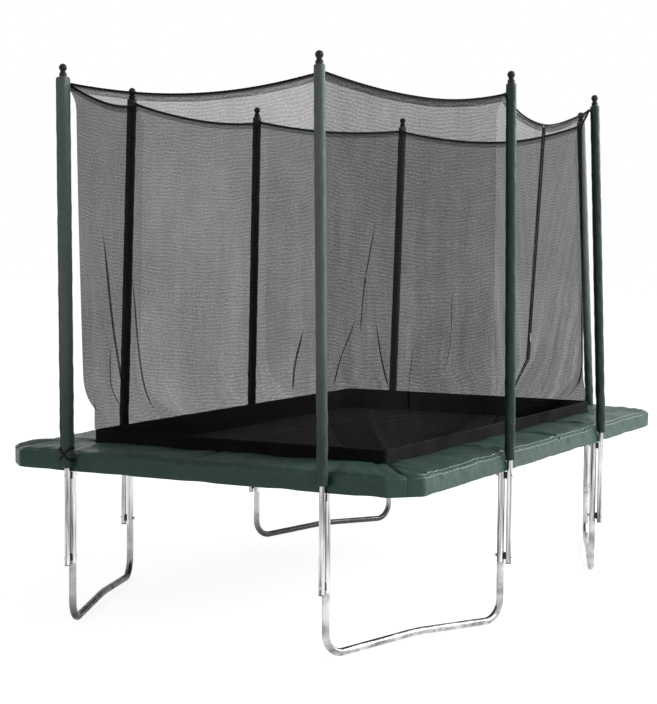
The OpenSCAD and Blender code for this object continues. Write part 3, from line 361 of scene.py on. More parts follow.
# Painted shade: a copy of the bend finish for the leg bases on the shaded left side, darker near the ground.
zinc_painted_shade = make_zinc("zinc_shaded_legs", (9.0, 9.0, 9.0), 0.5, 0.3, 0.7, 1.3, 0.97)
spring_wire = make_zinc("spring_wire", (200.0, 200.0, 200.0), 0.5, 0.3, 0.6, 1.4)

def make_bolt_steel():
    """Bright zinc with a fine mottle of darker specks."""
    material, tree, shader = finish("bolt_zinc", (0.5, 0.5, 0.49), 0.3, 1.0)
    at = place(tree)
    cloud = use(tree, mottle, Vector=at, Scale=180.0, Contrast=1.2)["Value"]
    shade(tree, shader, cloud, (0.3, 0.3, 0.29), (0.62, 0.62, 0.6))
    relief(tree, shader, cloud, 0.0003, 0.3)
    return material

bolt_zinc = make_bolt_steel()
steels = (zinc_upright, zinc_across, zinc_along, zinc_bend, zinc_painted_shade, spring_wire, bolt_zinc)
print("steel finishes:", *[steel.name for steel in steels])

# %% [markdown]
# ## Plastics
# The pole caps, spacer blocks and plugs are moulded in black plastic. Moulded plastic has a
# fine grain and wears to a paler grey on what is rubbed. Noise drives both.

# %% Black plastic
def make_plastic(name, base, rough, grain):
    """Grain as fine relief, and a soft change of tone."""
    material, tree, shader = finish(name, base, rough, Specular_IOR_Level=0.22)
    at = place(tree)
    cloud = use(tree, mottle, Vector=at, Scale=22.0, Contrast=1.0)["Value"]
    shade(tree, shader, cloud, tuple(x * 0.75 for x in base), tuple(x * 1.5 for x in base))
    relief(tree, shader, noise(tree, at, grain, 2.0), 0.0004, 0.4)
    tree.links.new(ranged(tree, cloud, 0.0, 1.0, rough - 0.06, rough + 0.1), shader.inputs["Roughness"])
    return material

cap_plastic = make_plastic("cap_plastic", (0.006, 0.006, 0.007), 0.42, 900.0)
block_plastic = make_plastic("block_plastic", (0.02, 0.02, 0.021), 0.5, 700.0)
zip_plastic = make_plastic("zip_teeth_plastic", (0.008, 0.008, 0.009), 0.36, 1200.0)
print("plastics:", cap_plastic.name, block_plastic.name, zip_plastic.name)

# %% [markdown]
# ## Cloths
# Coated green cloth covers the pads and the poles: a plain weave under a glossy skin, so the
# weave shows only as faint relief and the skin gives the long highlights. Mat, band, straps
# and tapes are uncoated black weaves with more relief and hardly any gloss.

# %% Coated green cloth
def make_coated(name, base, rough, coat, creases, crease_depth, painted_light_up=0.0):
    """A soft change of dye, paler where the skin is rubbed, weave under it, and small creases.
    The last number is painted light, added to the colour more with height, from 0.95 m to 1.45 m."""
    material, tree, shader = finish(name, base, rough, Coat_Weight=coat, Coat_Roughness=0.20,
                                    Specular_IOR_Level=0.12)
    at, on = place(tree), cloth_map(tree)
    cloud = use(tree, mottle, Vector=at, Scale=4.5, Contrast=0.9)["Value"]
    tone = shade(tree, shader, cloud, tuple(x * 0.78 for x in base), tuple(x * 1.24 for x in base))
    dust = use(tree, mottle, Vector=at, Scale=26.0, Contrast=2.2)["Value"]
    pale = tuple(x * 1.5 + 0.012 for x in base)
    # Painted light: the colour grows lighter upward from 0.95 m to 1.45 m.
    if painted_light_up:
        height = split(tree, at)[2]
        lit_share = ranged(tree, height, 0.95, 1.45, 0.0, 1.0)
        tone = blend_colours(tree, lit_share, tone, (*[x + painted_light_up for x in base], 1.0))
    dusty = blend_colours(tree, sums(tree, "MULTIPLY", dust, 0.22), tone, (*pale, 1.0))
    tree.links.new(dusty, shader.inputs["Base Color"])
    thread = use(tree, weave, Vector=on, Thread=0.0011)["Height"]
    crease = noise(tree, drawn_out(tree, at, creases), 1.0, 4.0, Roughness=0.55, Distortion=0.6)
    folded = {"Height": crease, "Distance": crease_depth, "Strength": 0.8}
    low = put(tree, "ShaderNodeBump", folded).outputs[0]
    relief(tree, shader, thread, 0.0003, 0.35, low)
    tree.links.new(ranged(tree, dust, 0.0, 1.0, rough - 0.05, rough + 0.12), shader.inputs["Roughness"])
    return material

pad_cloth = make_coated("pad_cloth", (0.0215, 0.0500, 0.0380), 0.5, 0.16, (9.0, 9.0, 14.0), 0.014)
# Painted highlight: the piping is the pad's own green cloth, but this copy has a paler base; its glossy coat
# is real.
piping_cloth_painted_highlight = make_coated("piping_cloth_painted_highlight", (0.036, 0.080, 0.062), 0.25, 0.9, (30.0, 30.0, 30.0), 0.002)
# The pale roll for the end poles, with painted light that grows upward.
sleeve_cloth = make_coated("sleeve_cloth", (0.026, 0.044, 0.038), 0.5, 0.10, (24.0, 24.0, 7.0), 0.008, 0.056)
deep_cloth = make_coated("sleeve_cloth_deep", (0.010, 0.022, 0.017), 0.42, 0.18, (24.0, 24.0, 7.0), 0.008)
print("coated cloths:", pad_cloth.name, piping_cloth_painted_highlight.name, sleeve_cloth.name, deep_cloth.name)

# %% Black weaves
def make_black_weave(name, base, thread, depth, rough, lines=(), pitch=0.005, gloss=0.06):
    """Plain weave in black yarn, with rows of stitches at the given distances across the piece."""
    material, tree, shader = finish(name, base, rough, Specular_IOR_Level=gloss)
    at, on = place(tree), cloth_map(tree)
    threads = use(tree, weave, Vector=on, Thread=thread)
    cloud = use(tree, mottle, Vector=at, Scale=3.0, Contrast=1.1)["Value"]
    tone = shade(tree, shader, cloud, tuple(x * 0.8 for x in base), tuple(x * 1.3 for x in base))
    # Painted shade: the colour darkens in the gaps between the threads.
    gap_shade = sums(tree, "MULTIPLY", threads["Gap"], 0.5)
    tone = blend_colours(tree, gap_shade, tone, (*[x * 0.4 for x in base], 1.0))
    height = threads["Height"]
    if lines:
        apart = split(tree, on)
        for line in lines:
            row = use(tree, stitches, Across=apart[0], Along=apart[1], Line=line, Pitch=pitch,
                      Width=0.0009)["Mask"]
            tone = blend_colours(tree, row, tone, (*[x * 2.6 + 0.01 for x in base], 1.0))
            height = sums(tree, "MULTIPLY_ADD", row, 1.2, height)
    tree.links.new(tone, shader.inputs["Base Color"])
    relief(tree, shader, height, depth, 0.5)
    return material

mat_weave = make_black_weave("mat_weave", (0.0400, 0.0375, 0.0386), 0.0016, 0.0006, 0.75)
webbing_weave = make_black_weave("webbing_weave", (0.012, 0.012, 0.013), 0.0022, 0.0009, 0.6,
                                 (0.004, 0.020, 0.036))
band_weave = make_black_weave("band_weave", (0.0165, 0.0163, 0.0167), 0.0012, 0.0004, 0.75,
                              (0.006, 0.117), gloss=0.0)
strap_weave = make_black_weave("strap_weave", (0.012, 0.012, 0.0125), 0.0018, 0.0008, 0.6, (0.002,))
tape_weave = make_black_weave("tape_weave", (0.0035, 0.0035, 0.0037), 0.0012, 0.0005, 0.6,
                              (0.003, 0.010), 0.003, gloss=0.0)
rope_weave = make_black_weave("rope_weave", (0.005, 0.005, 0.0052), 0.003, 0.002, 0.65)
print("black weaves ready")

# %% [markdown]
# ## Netting
# The walls are fine black netting. At this distance a hole is smaller than a picture point,
# so what counts is the share of light that gets through. Slack net has closer yarn, so each
# kind of wall has its own share: the taut far walls are the most open and the slack wall at
# the near corner the closest. In the hem the net is doubled and light has to pass twice, so
# its cover is 1 - (1 - cover) squared. A woven facing runs round the rope and beside the zip.

# %% Netting
def make_netting(name, low, lean, folds):
    """Alpha from the yarn pattern, which runs from low to low + 0.2. The map holds the distance
    across the wall, or from the zip, and the distance below the rope. Wavy rows of tighter
    knitting, uneven yarn and long soft folds that lean and grow downward change the cover."""
    material, tree, shader = finish(name, (0.007, 0.007, 0.007), 0.8, Specular_IOR_Level=0.0)
    on, at = cloth_map(tree), place(tree)
    yarn = use(tree, open_mesh, Vector=on, Cell=0.007, Low=low, High=low + 0.20)
    cloud = use(tree, mottle, Vector=at, Scale=2.2, Contrast=1.0)["Value"]
    shade(tree, shader, cloud, (0.005, 0.005, 0.005), (0.010, 0.010, 0.010))
    apart, down = split(tree, on)[:2]
    wavy = {"Vector": on, "Scale": 18.0, "Distortion": 9.0, "Detail": 2.0, "Detail Scale": 0.35}
    rows = put(tree, "ShaderNodeTexWave", wavy, wave_type="BANDS", bands_direction="Y",
               wave_profile="SIN").outputs["Fac"]
    uneven = noise(tree, drawn_out(tree, on, (95.0, 210.0, 1.0)), 1.0, 1.0)
    slant = {0: sums(tree, "MULTIPLY_ADD", down, lean, apart), 1: sums(tree, "MULTIPLY", down, 0.09)}
    soft = noise(tree, put(tree, "ShaderNodeCombineXYZ", slant).outputs[0], 13.0, 3.0, Roughness=0.6)
    grown = ranged(tree, down, 0.25, 1.30, 0.30 * folds, folds)
    cover = yarn["Yarn"]
    for change, size in ((cloud, 0.09), (rows, 0.085), (uneven, 0.50), (soft, grown)):
        cover = sums(tree, "MULTIPLY_ADD", sums(tree, "SUBTRACT", change, 0.5), size, cover)
    cover = put(tree, "ShaderNodeClamp", {"Value": cover, "Min": 0.05, "Max": 0.97}).outputs[0]
    open_share = sums(tree, "SUBTRACT", 1.0, cover)
    twice = sums(tree, "SUBTRACT", 1.0, sums(tree, "MULTIPLY", open_share, open_share))
    hem = sums(tree, "LESS_THAN", down, 0.030)
    cover = put(tree, "ShaderNodeMix", {0: hem, 2: cover, 3: twice}, data_type="FLOAT").outputs[0]
    casing = sums(tree, "LESS_THAN", down, 0.008)
    if lean:
        casing = sums(tree, "MAXIMUM", casing, sums(tree, "LESS_THAN", apart, 0.014))
    casing = sums(tree, "MULTIPLY", casing, 0.95)
    tree.links.new(sums(tree, "MAXIMUM", cover, casing), shader.inputs["Alpha"])
    relief(tree, shader, yarn["Height"], 0.0008, 0.4)
    return material

netting = make_netting("black_netting", 0.43, 0.0, 0.22)
netting_taut = make_netting("black_netting_taut", 0.34, 0.0, 0.16)
netting_far = make_netting("black_netting_far", 0.39, 0.0, 0.16)
netting_slack = make_netting("black_netting_slack", 0.56, 0.0, 0.28)
netting_door = make_netting("black_netting_door", 0.46, 0.42, 0.55)
print("nettings:", netting.name, netting_taut.name, netting_far.name, netting_slack.name, netting_door.name)

# %% [markdown]
# ## The studio
# A pale floor and a white backdrop. The lamps stay at a plain level, at which a colour comes
# out about as it is written, so the white must not come from more light: it is given only to
# what the camera sees directly and to reflections. The floor keeps part of its shading, so
# the object's soft shadow stays on it.

# %% Floor and backdrop
def seen_share(tree):
    """One for camera, mirror and glass rays, which meet the white, and zero for all others."""
    rays = tree.nodes.new("ShaderNodeLightPath").outputs
    bent = sums(tree, "MAXIMUM", rays["Is Glossy Ray"], rays["Is Transmission Ray"])
    return sums(tree, "MAXIMUM", rays["Is Camera Ray"], bent)

def make_floor():
    """A wide square on the ground whose material mixes plain white cloth with a plain glow
    that only camera, mirror and glass rays meet."""
    size = 60.0
    mesh = bpy.data.meshes.new("floor")
    corners = [(x * size, y * size, -0.001) for x, y in ((-1, -1), (1, -1), (1, 1), (-1, 1))]
    mesh.from_pydata(corners, [], [(0, 1, 2, 3)])
    floor = bpy.data.objects.new("floor", mesh)
    bpy.context.scene.collection.objects.link(floor)
    material = bpy.data.materials.new("studio_floor")
    material.use_nodes = True
    tree = material.node_tree
    tree.nodes.clear()
    seen = seen_share(tree)
    plain = put(tree, "ShaderNodeBsdfDiffuse", {"Color": grey(0.8)})
    lit = put(tree, "ShaderNodeBsdfDiffuse", {"Color": grey(0.36)})
    glow = put(tree, "ShaderNodeEmission", {"Color": grey(1.0), "Strength": 0.89})
    both = put(tree, "ShaderNodeAddShader", {0: lit.outputs[0], 1: glow.outputs[0]})
    mix = put(tree, "ShaderNodeMixShader", {0: seen, 1: plain.outputs[0], 2: both.outputs[0]})
    put(tree, "ShaderNodeOutputMaterial", {"Surface": mix.outputs[0]})
    mesh.materials.append(material)
    return floor

floor = make_floor()

def make_backdrop(level):
    """The world: plain light for the object, white where it is seen."""
    world = bpy.data.worlds.new("studio")
    world.use_nodes = True
    tree = world.node_tree
    tree.nodes.clear()
    seen = seen_share(tree)
    light = put(tree, "ShaderNodeBackground", {"Color": grey(1.0), "Strength": level})
    white = put(tree, "ShaderNodeBackground", {"Color": grey(1.0), "Strength": 1.0})
    mix = put(tree, "ShaderNodeMixShader", {0: seen, 1: light.outputs[0], 2: white.outputs[0]})
    put(tree, "ShaderNodeOutputWorld", {"Surface": mix.outputs[0]})
    bpy.context.scene.world = world
    return world

make_backdrop(0.36)
bpy.context.scene.view_settings.view_transform = "Standard"
print("studio: floor and backdrop")

# %% Lamps
def soft_lamp(name, place_at, look_at, size, watts):
    """A square lamp turned towards a point."""
    data = bpy.data.lights.new(name, "AREA")
    data.shape, data.size, data.energy = "SQUARE", size, watts
    lamp = bpy.data.objects.new(name, data)
    bpy.context.scene.collection.objects.link(lamp)
    way = Vector(look_at) - Vector(place_at)
    lamp.matrix_world = Matrix.Translation(place_at) @ way.to_track_quat("-Z", "Y").to_matrix().to_4x4()
    return lamp

soft_lamp("key", (9.5, 1.5, 6.5), (0, 0, 1.0), 4.5, 1150.0)
soft_lamp("fill", (-3.0, -11.0, 5.0), (0, 0, 1.2), 5.0, 115.0)
soft_lamp("rim", (7.5, 8.0, 4.5), (0, 0, 1.2), 3.0, 650.0)
print("lamps: key on the door side, a weak fill from the near left and a rim light from behind")

# %% [markdown]
# ## Surfaces from numbers
# A new piece is a grid of points, worked out for all its points at once. `patch` joins the
# neighbours into four-sided faces and can close the grid into a ring or a loop; `piece` puts
# one or more patches into a mesh, with a map in metres that the weaves follow. Points that
# fall together, as at a closed end, are merged, so the shell stays closed.

# %% Grids into meshes
def patch(points, across=None, along=None, ring=False, loop=False, finish_number=0, flip=False):
    """A grid of rows and columns of points. ring joins its last column to the first, loop its
    last row to the first. across and along give the map, one number more where it is joined."""
    points = np.asarray(points, float)
    rows, cols = points.shape[:2]
    r = np.arange(rows if loop else rows - 1)[:, None]
    c = np.arange(cols if ring else cols - 1)[None, :]
    r2, c2 = r + 1, c + 1
    corners = [(r, c), (r, c2), (r2, c2), (r2, c)]
    if flip:
        corners = corners[::-1]
    index = [np.broadcast_arrays(a % rows * cols + b % cols, r * c)[0] for a, b in corners]
    faces = np.stack(index, -1).reshape(-1, 4)
    shape = (rows + loop, cols + ring)
    u = np.broadcast_to(np.arange(shape[1]) * 0.01 if across is None else across, shape)
    v = np.broadcast_to(np.arange(shape[0])[:, None] * 0.01 if along is None else along, shape)
    index = [np.broadcast_arrays(a * shape[1] + b, r * c)[0] for a, b in corners]
    where = np.stack(index, -1).reshape(-1, 4)
    maps = np.stack([u.ravel()[where], v.ravel()[where]], -1)
    return {"points": points.reshape(-1, 3), "faces": faces, "maps": maps, "number": finish_number}

def piece(name, patches, finishes, merge=1e-6, flat=False):
    """One object at the origin from its patches; finishes are its materials."""
    patches = patches if isinstance(patches, list) else [patches]
    starts = np.cumsum([0] + [len(p["points"]) for p in patches])
    points = np.concatenate([p["points"] for p in patches])
    faces = np.concatenate([p["faces"] + s for p, s in zip(patches, starts)])
    mesh = bpy.data.meshes.new(name)
    mesh.from_pydata(points.tolist(), [], faces.tolist())
    maps = np.concatenate([p["maps"].reshape(-1, 2) for p in patches])
    mesh.uv_layers.new(name="cloth").data.foreach_set("uv", maps.astype(np.float32).ravel())
    numbers = np.concatenate([np.full(len(p["faces"]), p["number"]) for p in patches])
    mesh.polygons.foreach_set("material_index", numbers.astype(np.int32))
    mesh.polygons.foreach_set("use_smooth", np.full(len(faces), not flat))
    for material in finishes:
        mesh.materials.append(material)
    if merge:
        work = bmesh.new()
        work.from_mesh(mesh)
        bmesh.ops.remove_doubles(work, verts=work.verts, dist=merge)
        bmesh.ops.dissolve_degenerate(work, edges=work.edges, dist=merge)
        work.to_mesh(mesh)
        work.free()
    mesh.update()
    thing = bpy.data.objects.new(name, mesh)
    bpy.context.scene.collection.objects.link(thing)
    return thing

def close_holes(thing):
    """Fills the flat open ends of a shell with one face each and turns all faces outward."""
    work = bmesh.new()
    work.from_mesh(thing.data)
    bmesh.ops.holes_fill(work, edges=[e for e in work.edges if e.is_boundary], sides=0)
    bmesh.ops.recalc_face_normals(work, faces=work.faces)
    work.to_mesh(thing.data)
    work.free()
    return thing

def faces_of(thing):
    """How many faces the mesh has."""
    return len(thing.data.polygons)

def ramp(distance, width):
    """Rises evenly from 0 to 1 over a width."""
    return np.clip(distance / width, 0, 1)

def bump(distance, width):
    """A soft hill, 1 in the middle: exp(-(distance / width)^2)."""
    return np.exp(-(distance / width) ** 2)

print("mesh helpers ready")

# %% [markdown]
# ## A profile carried along a path
# Ropes, straps, wires and piping are all one outline carried along a line. At each point of
# the line the outline is turned square to it, with a given upward direction that keeps it
# from twisting.

# %% Carried outlines
def unit(v):
    """Each vector made one long."""
    return v / np.maximum(np.linalg.norm(v, axis=-1, keepdims=True), 1e-12)

def carry(path, outline, up, closed=False):
    """Rows along the path, columns round the outline: point = path + side * x + over * y,
    where side is square to the path and to up, and over is square to both."""
    path = np.asarray(path, float)
    if closed:
        ahead = np.roll(path, -1, 0) - np.roll(path, 1, 0)
    else:
        ahead = np.gradient(path, axis=0)
    ahead = unit(ahead)
    up = np.broadcast_to(np.asarray(up, float), path.shape)
    side = unit(np.cross(ahead, up))
    over = np.cross(side, ahead)
    outline = np.asarray(outline, float)
    return path[:, None] + side[:, None] * outline[None, :, :1] + over[:, None] * outline[None, :, 1:]

def circle(radius, count):
    """Points round a circle."""
    turn = np.arange(count) * 2 * np.pi / count
    return np.stack([np.cos(turn), np.sin(turn)], -1) * radius

def run_length(path):
    """Distance along a line of points, from its first."""
    return np.concatenate([[0.0], np.cumsum(np.linalg.norm(np.diff(path, axis=0), axis=-1))])

def pointed(rows, path):
    """The rows with both ends drawn together to the path's end points."""
    first, last = (np.broadcast_to(path[k], rows[:1].shape) for k in (0, -1))
    return np.concatenate([first, rows, last])

def cord_patch(path, outline, up, closed=False, number=0):
    """A carried outline as a patch, mapped in metres; an open one gets pointed ends."""
    path = np.asarray(path, float)
    rows = carry(path, outline, up, closed)
    if not closed:
        rows = pointed(rows, path)
    line = run_length(np.concatenate([path, path[:1]]) if closed else path)
    line = line if closed else np.concatenate([line[:1], line, line[-1:]])
    size = np.linalg.norm(np.roll(outline, -1, 0) - outline, axis=-1)
    round_it = np.concatenate([[0], np.cumsum(size)])[None, :]
    return patch(rows, round_it, line[:, None], ring=True, loop=closed, finish_number=number, flip=True)

print("carrying ready")

# %% [markdown]
# ## The plan of the trampoline
# These are the sizes of the CAD source in metres. Eight posts stand round the frame, the
# poles stand a little outside them and lean, and the net hangs just inside the poles from a
# rope that sags between them. Below its waist the net slopes in to its foot on the mat.

# %% Sizes and places
HALF_W, HALF_L, RAIL_Z, RAIL_R = 1.100, 1.780, 0.784, 0.021
MAT_W, MAT_L, MAT_TOP = 0.915, 1.595, 0.7888
PAD_W, PAD_L, PAD_UNDER, PAD_T = 1.1264, 1.8064, 0.8053, 0.039
SIDE_PAD, END_PAD, CORNER_CUT = 0.306, 0.376, 0.130
SLEEVE_R, SLEEVE_TOP, POLE_OFFSET = 0.0265, 2.6395, 0.0421
WAIST, NET_FOOT, FOOT_W, FOOT_L, NET_IN, NET_SLACK = 1.250, 0.9124, 0.8174, 1.4274, 0.036, 0.042
JOINT_Z, TOP_Z = 0.806, 2.700

post = np.array([[-0.695, -1.78], [0.695, -1.78], [1.1, -0.7], [1.1, 0.7],
                 [0.695, 1.78], [-0.695, 1.78], [-1.1, 0.7], [-1.1, -0.7]])
outward = np.array([[0, -1], [0, -1], [1, 0], [1, 0], [0, 1], [0, 1], [-1, 0], [-1, 0]], float)
lean = np.array([[-11, -14], [-25, -14], [-22, -5], [-68, -18],
                 [-91, -12], [48, 14], [27, 6], [40, 22]]) / 1000
rope_end = TOP_Z - np.array([89, 89, 112, 85, 89, 89, 95, 92]) / 1000
rope_sag = np.array([[72, .50, 2], [60, .58, 2], [112, .52, 1.8], [40, .50, 2],
                     [92, .42, 2], [34, .52, 2], [44, .50, 2], [46, .50, 2]])

def pole_at(i, z):
    """Plan of pole i's centre line at height z: upright to the joint, then leaning evenly."""
    rise = np.maximum(0, (np.asarray(z, float) - JOINT_Z) / (TOP_Z - JOINT_Z))
    return post[i] + outward[i] * POLE_OFFSET + lean[i] * rise[..., None]

def toward(i, k):
    """Direction in plan from post i to post k."""
    way = post[k % 8] - post[i]
    return way / np.linalg.norm(way)

inward = np.array([toward(i, i + 1) + toward(i, i + 7) for i in range(8)])
inward = inward / np.linalg.norm(inward, axis=-1, keepdims=True)

def net_at(i, z):
    """Plan of the net beside pole i: at the rope it is tied to the pole, and below the rope it
    falls in between its neighbours by slack * (1 - exp(-(drop / 60 mm)^2))."""
    drop = np.maximum(0, rope_end[i] - np.asarray(z, float))
    slack = NET_SLACK * (1 - np.exp(-(drop / 0.060) ** 2))
    return pole_at(i, z) - outward[i] * NET_IN + inward[i] * slack[..., None]

def foot_at(i):
    """Plan of the net's foot nearest to pole i, on the foot rectangle."""
    o, p = outward[i], post[i]
    x = o[0] * FOOT_W if abs(o[0]) > .5 else p[0] * 0.86
    y = o[1] * FOOT_L if abs(o[1]) > .5 else p[1] * 0.91
    return np.array([x, y])

def rope_height(i, t):
    """Height of the rope at share t of span i: a straight line less a sag that is
    one minus a power of the distance from the lowest point."""
    sag, low, power = rope_sag[i]
    u = np.where(t < low, 1 - t / low, (t - low) / (1 - low))
    return rope_end[i] + (rope_end[(i + 1) % 8] - rope_end[i]) * t - sag / 1000 * (1 - np.abs(u) ** power)

print("span widths:", [round(float(np.linalg.norm(post[(i + 1) % 8] - post[i])), 3) for i in range(8)])

# %% [markdown]
# ## Pole sleeves
# Each pole wears a foam tube in a sewn cloth sleeve. A plain cylinder would look like paint:
# the real cloth is slack over the foam, so it has shallow slanting creases, a raised seam
# down the outside and a hem at each end. The radius is a function of height and angle. The
# sleeves come from two rolls of cloth, a paler one on the two ends, which also has painted
# light that makes it lighter upward.

# %% Sleeves
def frame_along_pole(i):
    """The leaning pole's axes: along it, outward and sideways."""
    along = unit(np.array([*lean[i], TOP_Z - JOINT_Z]))
    out3 = np.array([*outward[i], 0.0])
    side = unit(np.cross(along, out3))
    return along, np.cross(side, along), side

def joint_of(i):
    """Where pole i's upper tube begins to lean."""
    return np.array([*(post[i] + outward[i] * POLE_OFFSET), JOINT_Z])

def wrapped(angle):
    """The same angle between minus and plus half a turn."""
    return np.mod(angle + np.pi, 2 * np.pi) - np.pi

FIN_TURNS = 2.209, -0.932
TIE_Z = 0.838

def fins(angle, width):
    """Bumps at the two long seams of the first sleeve."""
    return sum(bump(wrapped(angle - at), width) for at in FIN_TURNS)

sleeve_end = np.array([0.771, 0.787, 0.808, 0.808, 0.808, 0.808, 0.808, 0.808])

def sleeve_patch(i, rows=150):
    """Radius = sleeve radius - creases(height, angle) + seam, turned in to the tube at the foot
    and the top. The first sleeve is cut wider, so its two long seams stand out as flat fins."""
    cols = 112 if i == 0 else 48
    end = sleeve_end[i]
    z = np.concatenate([[end, end], np.linspace(end + 0.0005, end + 0.008, 6),
                        np.linspace(end + 0.012, 2.634, rows), [2.6375, 2.638, SLEEVE_TOP]])
    turn = np.arange(cols) * 2 * np.pi / cols
    zz, aa = z[:, None], turn[None, :]
    k = i * 1.7
    slant = (np.sin(9.0 * zz + 1.0 * aa + k) * np.sin(31 * zz - 2 * aa + 2 * k)
             + 0.6 * np.sin(57 * zz + 3 * aa + k * k)
             + 0.5 * np.sin(93 * zz - 2 * aa + 5 * k) * np.sin(4.1 * zz + k))
    calm = ramp(zz - end, 0.05) * ramp(2.62 - zz, 0.05)
    low = bump(zz - 0.95, 0.22)
    r = SLEEVE_R - 0.0010 + (0.0006 + 0.0007 * low) * slant * calm
    r = r + 0.0012 * bump(wrapped(aa - 0.9), 0.10)
    r = r - 0.0011 * bump(zz - 2.612, 0.0022) - 0.0010 * bump(zz - TIE_Z, 0.002)
    if i == 0:
        r = r + 0.0088 * fins(aa, 0.13) * ramp(zz - end, 0.004) * ramp(2.637 - zz, 0.004)
    foot = ramp(end + 0.006 - zz, 0.006) ** 2
    r = r * (1 - foot) + 0.0235 * foot + 0.0006 * np.sin(7 * aa + k) * ramp(end + 0.05 - zz, 0.05)
    r[0] = 0.0146
    top = ramp(zz - 2.6372, 0.0008)
    r = r * (1 - top) + 0.0165 * top
    r[-1] = 0.0142
    along, out3, side = frame_along_pole(i)
    straight = zz < JOINT_Z
    rise = np.where(straight, (zz - JOINT_Z) * np.array([0, 0, 1.0]), (zz - JOINT_Z) / along[2] * along)
    axis = joint_of(i) + rise
    x, y = r * np.cos(aa), r * np.sin(aa)
    x = np.where(zz < 0.822, np.maximum(x, -0.0147), x)
    points = axis[:, None] + x[..., None] * out3 + y[..., None] * side
    across = np.append(turn, 2 * np.pi)[None, :] * SLEEVE_R
    on_an_end = i in (0, 1, 4, 5)
    return patch(points, across, z[:, None] - end, ring=True, finish_number=0 if on_an_end else 1)

sleeves = piece("pole_sleeve_cloth", [sleeve_patch(i) for i in range(8)], [sleeve_cloth, deep_cloth])
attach(sleeves, "frame")
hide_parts("pole_sleeves", "pole_foam")
print("sleeves:", faces_of(sleeves), "faces")

# %% [markdown]
# ## Ties and rope straps
# At its foot the first sleeve is held by a flat black tie that crosses over itself, and near
# the top of each pole a short strap loops from the sleeve round the rope. Flat webbing is a
# thin rectangle carried along a line, so it is made directly and not simulated.

# %% Tie at the sleeve foot
def band_outline(width, thick):
    """A flat rectangle with its corners cut, eight points."""
    x, y = width / 2, thick / 2
    b = 0.6 * min(x, y)
    return np.array([[-x, -y + b], [-x + b, -y], [x - b, -y], [x, -y + b],
                     [x, y - b], [x - b, y], [-x + b, y], [-x, y - b]])

def tie_patches(i):
    """Two tilted hoops round the sleeve that cross at the outside, and stand over its fins.
    Hoop height = tie height + rise * sin(angle)."""
    along, out3, side = frame_along_pole(i)
    turn = np.linspace(0, 2 * np.pi, 40, endpoint=False)
    made = []
    for rise, r in ((0.030, 0.0292), (-0.030, 0.0297)):
        height = TIE_Z + rise * np.sin(turn)
        centre = joint_of(i) + ((height - JOINT_Z) / along[2])[:, None] * along
        way = np.cos(turn)[:, None] * out3 + np.sin(turn)[:, None] * side
        free = r + 0.008 * fins(turn, 0.5)
        by_the_leg = np.minimum(free, 0.0152 / np.maximum(-np.cos(turn), 0.1))
        reach = np.where(np.cos(turn) < -0.55, by_the_leg, free)
        path = centre + way * reach[:, None]
        made.append(cord_patch(path, band_outline(0.0100, 0.0030), way, closed=True))
    return made

ties = piece("sleeve_ties", tie_patches(0), [strap_weave])
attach(ties, "frame")
print("sleeve ties:", faces_of(ties), "faces")

# %% Straps to the rope
def strap_patches(i):
    """A flat loop from the sleeve's inner side round the rope, and its sewn foot on the sleeve."""
    along, out3, side = frame_along_pole(i)
    centre = np.array([*pole_at(i, rope_end[i]), rope_end[i]])
    turn = np.linspace(np.pi - 0.5, np.pi + 0.5, 12)
    way = np.cos(turn)[:, None] * out3 + np.sin(turn)[:, None] * side
    sewn = cord_patch(centre + way * 0.0272, band_outline(0.0200, 0.0016), way)
    t = np.linspace(0, 2 * np.pi, 24, endpoint=False)
    loop = centre - out3 * (0.0345 + 0.0062 * np.cos(t))[:, None] + along * (0.0066 * np.sin(t))[:, None]
    around = -out3 * np.cos(t)[:, None] + along * np.sin(t)[:, None]
    return [sewn, cord_patch(loop, band_outline(0.0120, 0.0014), around, closed=True)]

straps = piece("rope_straps", [p for i in range(8) for p in strap_patches(i)], [strap_weave])
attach(straps, "frame")
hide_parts("net_hooks")
print("rope straps:", faces_of(straps), "faces")

# %% [markdown]
# ## The rope in the top hem
# A laid rope of three strands runs all the way round through the top hem. Its outline is a
# three-lobed circle that turns as it goes along, which gives the lay of the strands.

# %% Top rope
def rope_line(step=40):
    """Centre line through all eight spans, straight in plan between the poles and sagging."""
    line = []
    for i in range(8):
        t = np.arange(step) / step
        z = rope_height(i, t)
        a, b = net_at(i, z), net_at((i + 1) % 8, z)
        line.append(np.column_stack([a + (b - a) * t[:, None], z]))
    return np.concatenate(line)

def laid_rope(path, radius, cols=9, fine=5):
    """Radius = rope radius * (1 + 0.09 cos(3 * (angle + lay * distance)))."""
    n = len(path)
    closed = np.vstack([path, path[:1]])
    at = np.linspace(0, n, n * fine, endpoint=False)
    path = np.stack([np.interp(at, np.arange(n + 1), closed[:, k]) for k in range(3)], -1)
    along = run_length(np.vstack([path, path[:1]]))[:-1]
    turn = np.arange(cols) * 2 * np.pi / cols
    r = radius * (0.94 + 0.09 * np.cos(3 * (turn[None, :] + along[:, None] / 0.012)))
    ahead = unit(np.roll(path, -1, 0) - np.roll(path, 1, 0))
    side = unit(np.cross(ahead, [0, 0, 1.0]))
    over = np.cross(side, ahead)
    out = (r * np.cos(turn))[..., None] * side[:, None]
    points = path[:, None] + out + (r * np.sin(turn))[..., None] * over[:, None]
    across = np.append(turn, 2 * np.pi)[None] * radius
    line = np.append(along, along[-1] + 0.007)[:, None]
    return patch(points, across, line, ring=True, loop=True, flip=True)

rope = piece("top_rope_laid", laid_rope(rope_line(), 0.0052), [rope_weave])
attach(rope, "frame")
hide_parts("top_rope")
print("rope:", round(float(run_length(rope_line())[-1]), 2), "m round,", faces_of(rope), "faces")

